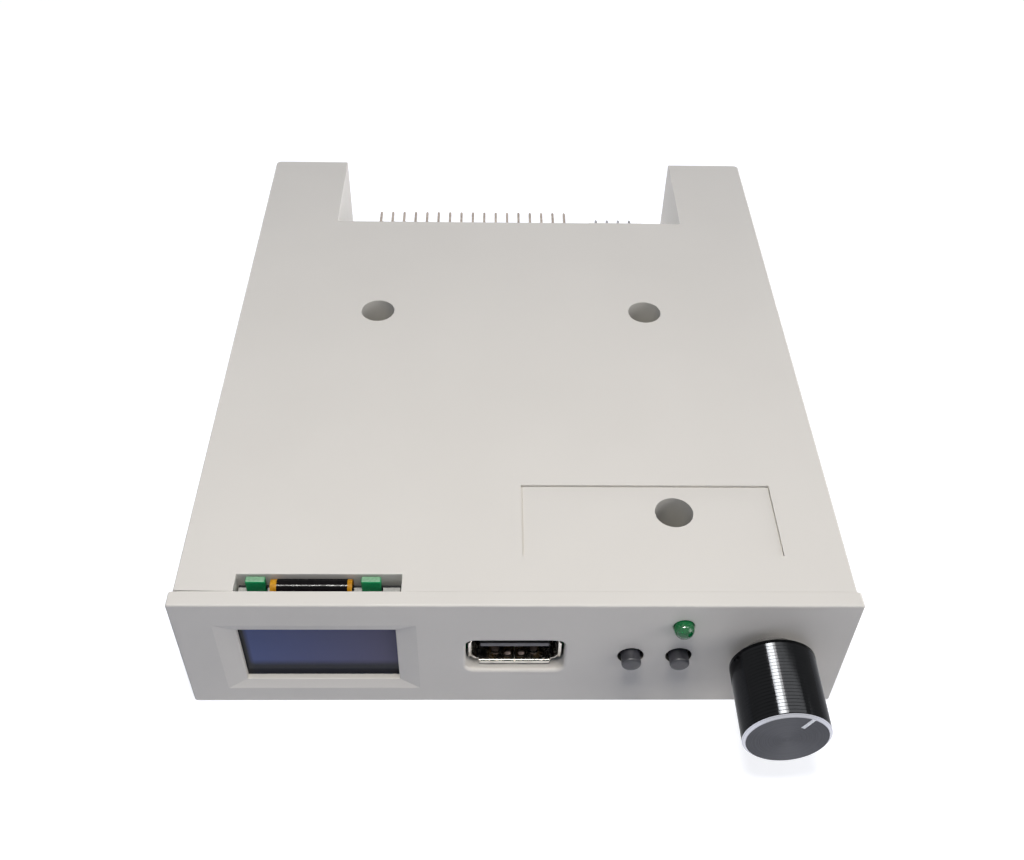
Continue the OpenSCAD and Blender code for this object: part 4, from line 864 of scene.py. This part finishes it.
def make_pane():
    """Two sheets of glass, the front one shorter so that the rear one leaves a ledge for the flex."""
    low, high = node_box("display_glass")
    pane = block("display_pane", (low.x, low.y + 0.7, low.z), high)
    add(pane, block("front", low, (high.x, low.y + 0.9, high.z - 2.6)))
    return soften(pane, 0.06, 1)


def flex_line(lift):
    """Line of the folded flex, lifted off its outside by a distance."""
    low, high = node_box("display_flex")
    half = (high.y - low.y) / 2
    fold = arc((low.y + half, high.z - half), half - 0.06 + lift, 180, 0, 28)
    return [(fold[0][0], low.z + 3.65), *fold, (fold[-1][0], low.z)]


def make_flex():
    """Bare film, and the dark coat on the middle of it."""
    low, high = node_box("display_flex")
    film = strip("flex_film", low.x, high.x - low.x, flex_line(0), 0.11)
    coat = strip("flex_coat", low.x + 0.95, high.x - low.x - 1.65, flex_line(0.05), 0.1)
    return smooth(film), smooth(coat)


def make_clips():
    """Two clips that grip the upper edge of the display's board."""
    low, high = node_box("display_clips")
    board_low, board_high = node_box("display_board")
    wide, shift = 2.9, 0.17
    clips = []
    for x in (low.x - shift, high.x - wide - shift):
        clip = block("clip", (x, low.y, low.z), (x + wide, high.y, high.z))
        cut(clip, block("grip", (x - 1, board_low.y - 0.05, low.z - 1),
                        (x + wide + 1.1, board_high.y + 0.05, board_high.z)))
        clips.append(soften(clip, 0.17, 3))
    return join("edge_clips", *clips)


def make_display():
    house(make_pane(), glass_finish(), "display_dark", "display_glass")
    film, coat = make_flex()
    amber = worked("flex_amber", tone(160, 104, 8), tone(200, 146, 30), 0.8, (0.4, 0.6), (0.2, 0.004),
                   Specular_IOR_Level=0.1)
    black = worked("flex_dark", tone(9, 8, 9), tone(22, 19, 20), 0.5, (0.14, 0.22), (0.22, 0.012),
                   Specular_IOR_Level=0.03)
    shine = worked("flex_shine", tone(20, 18, 18), tone(50, 48, 46), 0.8, (0.1, 0.6), (0.15, 0.03),
                   Specular_IOR_Level=0.5)
    house(film, amber, "flex_dark", "display_flex")
    # A narrow band of the coat, where its fold faces the lamp, gets a glossier finish with a lighter colour:
    # a painted highlight.
    paint(dress(coat, black), shine, lambda f: f.normal.z > 0.5 and -0.48 < f.normal.y < -0.38)
    hand_over(coat, "housing", "flex_dark")
    green = worked("clip_green", (0.001, 0.260, 0.075), (0.004, 0.340, 0.115), 0.35, (0.4, 0.55),
                   (0.18, 0.02), Specular_IOR_Level=0.5)
    # Clip tops get a paler green than the fronts: painted light, where the light from above falls and the
    # gloss shows.
    painted_top_light = worked("clip_painted_top_light", tone(104, 150, 114), tone(126, 170, 134), 0.35, (0.4, 0.55), (0.18, 0.02))
    clips = paint(dress(make_clips(), green), painted_top_light, lambda f: f.normal.z > 0.8)
    hand_over(clips, "housing", "clip_green", "display_clips")


# Buttons and lamp

def make_button(name, x):
    """Stem with a rounded end, and a collar behind the bezel."""
    reach, stem_r, edge_r = 1.75, 1.5, 0.35
    edge = arc((-reach + edge_r, stem_r - edge_r), edge_r, 180, 90, 5)
    outline = [(-reach, 0), (-reach, 0.6), *edge, (7.3, stem_r), (7.3, 2.1), (8.1, 2.1), (8.1, 0)]
    return smooth(turned(name, (x, FRONT, BUTTON_Z), Y, outline, 48))


def make_lens():
    dome = arc((-0.5, 0), 1.5, 180, 90, 12)
    outline = [*dome, (1.5, 1.5), (1.5, 1.9), (2.5, 1.9), (2.5, 0)]
    return smooth(turned("lamp_dome", (LAMP_X, FRONT, LAMP_Z), Y, outline, 48))


def make_lamp_core():
    """Cup and post that show through the lens."""
    outline = [(2.2, 0), (2.2, 0.6), (0.5, 0.6), (-0.1, 0.95), (-0.1, 0.85), (0.5, 0.3), (0.5, 0)]
    return smooth(turned("lamp_cup", (LAMP_X, FRONT, LAMP_Z), Y, outline, 32))


def make_controls():
    grey = worked("button_grey", tone(38, 38, 43), tone(47, 47, 53), 1.2, (0.35, 0.5), (0.15, 0.004))
    for side, x in zip(("left", "right"), BUTTONS_X):
        button = side + "_button"
        hand_over(dress(make_button(side + "_push", x), grey), button, "button_grey", button)
    green = worked("lamp_green", tone(0, 114, 58), tone(2, 136, 72), 1.5, (0.06, 0.12), (0.6, 0.002),
                   Transmission_Weight=0.55, IOR=1.5)
    house(make_lens(), green, "lamp_green", "lamp_lens")
    plated = metal("lamp_metal", tone(60, 90, 74), tone(110, 135, 122), 0.5, (0.2, 0.35), (0.1, 0.003))
    house(make_lamp_core(), plated, "tin")


# Knob

def sleeve_finish():
    """Black anodised metal."""
    finish = new_finish("knob_black", Metallic=1.0, Specular_Tint=(0.8, 0.8, 0.8, 1))
    dark, light = (0.0120, 0.0125, 0.0135), (0.0150, 0.0155, 0.0165)
    feed(finish, "Base Color", blend_tones(finish, cloud(finish, 2.5), dark, light))
    feed(finish, "Roughness", spread(finish, cloud(finish, 0.8), 0.08, 0.13))
    return finish


def spun_finish(name, dark, light, rough, ring):
    """Metal turned in rings about the knob's axis, which stretch its highlights outward."""
    finish = new_finish(name, Roughness=rough, Metallic=1.0, Anisotropic=0.85)

    def vector(operation, *values):
        return put(finish, "ShaderNodeVectorMath", dict(enumerate(values)), operation=operation).outputs

    arm = vector("SUBTRACT", place_of(finish), Vector((KNOB_X, 0, KNOB_Z)) * MM)[0]
    flat = vector("MULTIPLY", arm, (1, 0, 1))[0]
    round_way = vector("CROSS_PRODUCT", flat, (0, 1, 0))[0]
    world = put(finish, "ShaderNodeVectorTransform", {"Vector": round_way}, convert_from="OBJECT",
                convert_to="WORLD", vector_type="VECTOR")
    feed(finish, "Tangent", world.outputs[0])
    reach = vector("LENGTH", flat)["Value"]
    rings = put(finish, "ShaderNodeTexNoise", {"W": reach, "Scale": 1 / (ring * MM), "Detail": 1.0},
                noise_dimensions="1D")
    feed(finish, "Base Color", blend_tones(finish, spread(finish, rings.outputs["Fac"], 0, 1), dark, light))
    return finish


def make_knob():
    """Turned sleeve with fine grooves and a bright edge, and the pointer let into its face."""
    r, near, far = KNOB_R, KNOB_NEAR, KNOB_FAR
    grooves = []
    place = near + 0.6
    while place < far - 0.6:
        grooves += [(place, r - GROOVE_DEEP), (place + GROOVE_RUN, r)]
        place += GROOVE_PITCH
    outline = [(near, 0), (near, 3.0), (near, r - 0.5), (near + 0.37, r), *grooves, (far - 0.15, r),
               (far, r - 0.15), (far, r - 0.9), (-3.3, r - 0.9), (-3.3, r - 1.5), (-13.25, r - 1.5),
               (-13.25, 0)]
    sleeve = turned("knob_sleeve", (KNOB_X, FRONT, KNOB_Z), Y, outline, 96)
    cut(sleeve, pointer_block("groove", 0))
    shade(sleeve, 8)
    edge = spun_finish("knob_edge", tone(164, 165, 171), tone(200, 201, 208), 0.22, 0.1)
    face = spun_finish("knob_face", (0.036, 0.037, 0.043), (0.060, 0.062, 0.071), 0.34, 0.12)
    front = FRONT + near
    dress(sleeve, sleeve_finish())
    paint(sleeve, edge, lambda f: front + 0.05 < middle(f).y < front + 0.36 and f.normal.y < -0.3)
    paint(sleeve, face, lambda f: middle(f).y < front + 0.25 and f.normal.y < -0.95)
    hand_over(sleeve, "knob", "knob_black", "knob_shell")
    pointer = soften(pointer_block("pointer_bar", 0.03), 0.04)
    white = worked("pointer_white", tone(244, 244, 244), tone(252, 252, 252), 0.6, (0.4, 0.55), (0.1, 0.006))
    hand_over(dress(pointer, white), "knob", "pointer_white", "knob_pointer")


def pointer_block(name, set_in):
    """Bar let into the knob's face at the pointer's angle."""
    front = FRONT + KNOB_NEAR
    inner, outer = POINTER_REACH
    bar = block(name, (KNOB_X - POINTER_HALF, front + set_in, KNOB_Z + inner),
                (KNOB_X + POINTER_HALF, front + POINTER_DEEP, KNOB_Z + outer))
    return turn(bar, POINTER_TURN, "Y", (KNOB_X, front, KNOB_Z))


# Rear connectors

def bent_pin(name, x, leg_y, z):
    """Square pin with a tapered tip that turns down through the board."""
    half, bend, shoulder = PIN_W / 2, 0.6, TIP_Y - PIN_TAPER
    pin = block(name, (x - half, leg_y + bend, z - half), (x + half, shoulder, z + half))
    choose(pin, "FACE", lambda f: on(f, Y, shoulder))
    pull(0, PIN_TAPER, 0)
    bpy.ops.transform.resize(value=(0.5, 1, 0.5), center_override=Vector((x, TIP_Y, z)) * MM)
    choose(pin, "FACE", lambda f: on(f, Y, leg_y + bend))
    bpy.ops.mesh.spin(steps=5, angle=math.pi / 2, center=Vector((x, leg_y + bend, z - bend)) * MM,
                      axis=(1, 0, 0))
    pull(0, 0, PIN_FOOT - z + bend)
    face_out(pin)
    return smooth(pin)


def upright_pin(name, x, y, top):
    """Square pin that stands on the board, tapered at its top."""
    half, shoulder = PIN_W / 2, top - PIN_TAPER
    pin = block(name, (x - half, y - half, PIN_FOOT), (x + half, y + half, shoulder))
    choose(pin, "FACE", lambda f: on(f, Z, shoulder))
    pull(0, 0, PIN_TAPER)
    bpy.ops.transform.resize(value=(0.5, 0.5, 1), center_override=Vector((x, y, top)) * MM)
    return smooth(pin)


def notch_row(start, length, axis, columns):
    """Row of square bars on edge that cut notches between the columns of a connector block."""
    return row(rod("notch", start, 0.42, length, axis, 4), columns - 1, PITCH)


def make_drive_header():
    """Two-row connector block with notches between its cells, and its pins."""
    low, high = node_box("drive_header_block")
    header = block("drive_cells", low, high)
    first = low.x + PITCH
    for z in (low.z, high.z):
        cut(header, notch_row((first, low.y - 1, z), high.y - low.y + 2, Y, DRIVE_COLUMNS))
    middle_z = (low.z + high.z) / 2
    for y in (low.y, high.y):
        cut(header, notch_row((first, y, low.z - 1), high.z - low.z + 2, Z, DRIVE_COLUMNS))
        cut(header, rod("notch", (low.x - 1, y, middle_z), 0.3, high.x - low.x + 2, X, 4))
    soften(header, 0.06, 1)
    pins = []
    for step in (0, 1):
        pin = bent_pin("pin", low.x + PITCH / 2, low.y - 1.6 - step * PITCH, low.z + (0.5 + step) * PITCH)
        pins.append(row(pin, DRIVE_COLUMNS, PITCH))
    return header, join("drive_pins", *pins)


def make_power_header():
    """Connector block with a guide below its pins and a rail at each side."""
    low, high = node_box("power_header_block")
    body_back = TIP_Y - 6
    middle_x = (low.x + high.x) / 2
    header = block("power_shell", low, (high.x, body_back, high.z))
    round_edges(header, lambda e: along(e, Y) and on(e, Z, high.z), 0.5, 3)
    half = 4.75
    add(header, block("guide", (middle_x - half, body_back - 1, low.z),
                      (middle_x + half, high.y, low.z + 0.9)))
    for side in (-1, 1):
        x = middle_x + side * half
        add(header, block("rail", (x - 0.45, body_back - 1, low.z), (x + 0.45, high.y, low.z + 2)))
    first = middle_x - (POWER_PINS - 1) / 2 * POWER_PITCH
    for i in range(POWER_PINS):
        x = first + i * POWER_PITCH
        cut(header, block("hole", (x - 0.4, body_back - 0.6, low.z + 1.6),
                          (x + 0.4, body_back + 1, low.z + 2.4)))
    soften(header, SOFT_R)
    pin = bent_pin("power_pins", first, body_back - 5.6, low.z + 2)
    return header, row(pin, POWER_PINS, POWER_PITCH)


def make_jumpers():
    """Jumper block with notches between its cells, its posts and the cap on two of them."""
    low, high = node_box("jumper_block")
    base = block("jumper_cells", low, high)
    first = low.x + PITCH
    for y in (low.y, high.y):
        cut(base, notch_row((first, y, low.z - 1), high.z - low.z + 2, Z, JUMPER_COLUMNS))
    cut(base, notch_row((first, low.y - 1, high.z), high.y - low.y + 2, Y, JUMPER_COLUMNS))
    soften(base, 0.06, 1)
    pin_top = node_box("jumper_pins")[1].z
    x = low.x + PITCH / 2
    places = [low.y + step * PITCH for step in (0.5, 1.5)]
    pins = [row(upright_pin("pin", x, y, pin_top), JUMPER_COLUMNS, PITCH) for y in places]
    cap_low, cap_high = node_box("jumper_cap")
    cap = block("jumper_bridge", cap_low, cap_high)
    for y in places:
        cut(cap, block("hole", (x - 0.4, y - 0.4, cap_low.z - 1), (x + 0.4, y + 0.4, cap_high.z + 1)))
    cap_y = (cap_low.y + cap_high.y) / 2
    cut(cap, block("finger", (cap_low.x - 1, cap_y - 0.4, cap_high.z - 1.4),
                   (cap_low.x + 0.3, cap_y + 0.4, cap_high.z + 1)))
    soften(cap, 0.15)
    return base, join("jumper_posts", *pins), cap


def make_connectors():
    black = worked("header_black", tone(24, 24, 26), tone(36, 36, 39), 2.0, (0.42, 0.55), (0.25, 0.006))
    nylon = worked("nylon_white", tone(224, 220, 208), tone(236, 233, 224), 2.5, (0.4, 0.5), (0.3, 0.006))
    tin = metal("tin", tone(136, 136, 138), tone(172, 172, 174), 1.0, (0.3, 0.45), (0.2, 0.004))
    warm = metal("pin_metal", tone(148, 138, 130), tone(184, 174, 165), 1.0, (0.3, 0.45), (0.2, 0.004))
    header, pins = make_drive_header()
    house(header, black, "header_black", "drive_header_block")
    house(pins, warm, "tin", "drive_header_pins")
    header, pins = make_power_header()
    house(header, nylon, "nylon_white", "power_header_block")
    house(pins, tin, "tin", "power_header_pins")
    base, posts, cap = make_jumpers()
    house(base, black, "header_black", "jumper_block")
    house(posts, tin, "tin", "jumper_pins")
    house(cap, black, "header_black", "jumper_cap")


# Pieces carried over from the CAD

def dress_inside():
    """Finishes for the CAD pieces that stay as they are."""
    black = worked("chip_black", tone(26, 26, 28), tone(40, 40, 42), 1.5, (0.5, 0.65), (0.12, 0.004))
    can = metal("can_metal", tone(186, 187, 190), tone(215, 216, 219), 3.0, (0.2, 0.35), (0.3, 0.003))
    spring = metal("spring_steel", tone(190, 190, 190), tone(220, 220, 220), 1.5, (0.15, 0.25), (0.2, 0.003))
    steel = metal("encoder_metal", tone(170, 170, 173), tone(205, 205, 208), 2.0, (0.25, 0.4), (0.2, 0.004))
    # The encoder nut gets a dull grey, kept dark so that it passes for the shade just above the knob's rim:
    # painted shade on a real nut.
    nut_shade_grey = worked("nut_grey_painted_shade", tone(74, 73, 72), tone(88, 87, 86), 2.0, (0.55, 0.7), (0.2, 0.004))
    foam = worked("foam_white", tone(150, 149, 146), tone(186, 185, 181), 0.3, (0.8, 0.9), (0.12, 0.06))
    dark_board = worked("display_board_dark", tone(5, 6, 9), tone(10, 12, 16), 2.0, (0.3, 0.45), (0.4, 0.004))
    wire = worked("wire_dark", tone(34, 34, 37), tone(52, 52, 56), 2.5, (0.45, 0.6), (0.3, 0.006))
    resin = worked("rotor_resin", tone(196, 182, 148), tone(212, 200, 168), 2.0, (0.4, 0.5), (0.3, 0.005))
    plain = {
        black: ["processor_chip", "driver_chips", "voltage_regulator", "left_switch_body",
                "right_switch_body", "encoder_cup"],
        can: ["clock_crystal", "storage_capacitors"],
        bpy.data.materials["tin"]: ["switch_legs", "lamp_leads", "encoder_terminals"],
        bpy.data.materials["header_black"]: ["knob_core"],
        spring: ["left_switch_dome", "right_switch_dome", "encoder_dome"],
        steel: ["encoder_frame", "encoder_shaft", "encoder_washer"],
        nut_shade_grey: ["encoder_nut"],
        foam: ["display_tape"],
        dark_board: ["display_board"],
        wire: ["display_cable", "encoder_cable"],
        resin: ["encoder_rotor"],
        board_finish(): ["main_board"],
    }
    for finish, nodes in plain.items():
        for node in nodes:
            dress(bpy.data.objects[node], finish)


def board_finish():
    """Green solder mask with raised tracks below it."""
    finish = new_finish("board_green")
    place = put(finish, "ShaderNodeMapping", {"Vector": place_of(finish), "Scale": (1, 1, 0)})
    sizes = {"Scale": 1 / (PITCH * MM), "Mortar Size": 0.08, "Mortar Smooth": 0.3, "Brick Width": 3.0,
             "Row Height": 0.5}
    tracks = put(finish, "ShaderNodeTexBrick", {"Vector": place.outputs[0], **sizes}, offset=0.37, squash=1.6,
                 squash_frequency=3).outputs["Fac"]
    feed(finish, "Base Color", blend_tones(finish, tracks, tone(16, 92, 52), tone(34, 124, 74)))
    feed(finish, "Roughness", spread(finish, cloud(finish, 4), 0.25, 0.4))
    grain(finish, tracks, 0.03)
    return finish


# Stage

def make_camera():
    """Camera at the photograph's place and angle."""
    let_go()
    place, turns = (-4.816, -157.446, 159.894), (44.9815, -1.1397, -0.7725)
    bpy.ops.object.camera_add(location=Vector(place) * MM, rotation=[math.radians(a) for a in turns])
    camera = bpy.context.object
    camera.name = "camera"
    camera.data.sensor_width = 36
    camera.data.lens = 40.08
    camera.data.clip_start = 0.01
    bpy.context.scene.camera = camera


def add_lamp(name, aim, towards, far, size, power, colour, side=(1, 0, 0)):
    """Area lamp some metres away from the point that it faces, with its width along a side direction."""
    let_go()
    back = Vector(towards).normalized()
    up = back.cross(Vector(side)).normalized()
    bpy.ops.object.light_add(type="AREA", location=Vector(aim) * MM + back * far)
    lamp = bpy.context.object
    lamp.name = name
    lamp.rotation_euler = Matrix((up.cross(back), up, back)).transposed().to_euler()
    lamp.data.shape = "RECTANGLE"
    lamp.data.size, lamp.data.size_y = size
    lamp.data.energy = power
    lamp.data.color = colour
    return lamp


def add_strip(name, angle, width, power):
    """Lamp strip overhead that shows in gloss alone, at an angle about the knob's axis in degrees."""
    sine, cosine = math.sin(math.radians(angle)), math.cos(math.radians(angle))
    lamp = add_lamp(name, (KNOB_X, FRONT - 8, KNOB_Z + 6), (0.993 * sine, -0.12, 0.993 * cosine), 1.0,
                    (width, 0.12), power, (1.0, 0.99, 0.97), (cosine, 0, -sine))
    lamp.visible_diffuse = False


def make_light():
    """Soft lamp over the front, one to the right, two behind, and two strips that show in gloss alone."""
    face = (0, FRONT, 12)
    add_lamp("table_lamp", face, (-0.03, -0.14, 0.99), 0.30, (0.09, 0.085), 0.68, (1.0, 0.965, 0.91))
    add_lamp("side_lamp", face, (0.88, -0.36, 0.31), 0.5, (0.3, 0.28), 0.95, (1.0, 0.97, 0.95),
             (0.38, 0.925, 0))
    for side, power in ((-1, 1.6), (1, 2.6)):
        add_lamp("rear_lamp", (0, 50, 10), (side * 0.64, 0.76, 0.06), 0.6, (0.3, 0.08), power,
                 (1.0, 0.99, 1.0))
    add_strip("window_strip", -14, 0.28, 6.4)
    add_strip("ceiling_strip", 19, 0.88, 1.6)
    world = bpy.data.worlds.new("studio")
    bpy.context.scene.world = world
    world.use_nodes = True
    tree = world.node_tree
    sky = tree.nodes["Background"]
    sky.inputs["Color"].default_value = (0.74, 0.88, 1.18, 1)
    sky.inputs["Strength"].default_value = 0.22
    white = put(world, "ShaderNodeBackground", {"Color": (1, 1, 1, 1), "Strength": 1})
    pick = put(world, "ShaderNodeMixShader", {"Fac": seen_ray(world), 1: sky.outputs[0], 2: white.outputs[0]})
    tree.links.new(pick.outputs[0], tree.nodes["World Output"].inputs["Surface"])


def seen_ray(owner):
    """1 for rays that show the background: from the camera, a gloss or through glass."""
    path = put(owner, "ShaderNodeLightPath").outputs
    found = path["Is Camera Ray"]
    for kind in ("Is Glossy Ray", "Is Transmission Ray"):
        found = put(owner, "ShaderNodeMath", {0: found, 1: path[kind]}, operation="MAXIMUM").outputs[0]
    return found


def make_floor():
    """Pale floor that takes the object's shadow and glows a little for rays that show the background."""
    let_go()
    bpy.ops.mesh.primitive_plane_add(size=6, location=(0, 0, -0.05 * MM))
    floor = settle("floor")
    finish = bpy.data.materials.new("pale_floor")
    finish.use_nodes = True
    tree = finish.node_tree
    tree.nodes.remove(tree.nodes["Principled BSDF"])
    matt = put(finish, "ShaderNodeBsdfDiffuse", {"Color": (0.50, 0.51, 0.56, 1)})
    level = put(finish, "ShaderNodeMath", {0: seen_ray(finish), 1: 0.75}, operation="MULTIPLY")
    glow = put(finish, "ShaderNodeEmission", {"Strength": level.outputs[0]})
    both = put(finish, "ShaderNodeAddShader", {0: matt.outputs[0], 1: glow.outputs[0]})
    tree.links.new(both.outputs[0], tree.nodes["Material Output"].inputs["Surface"])
    floor.data.materials.append(finish)


make_camera()
make_light()
make_floor()
make_case()
make_port()
make_display()
make_controls()
make_knob()
make_connectors()
dress_inside()

bpy.context.scene.view_settings.view_transform = "Standard"
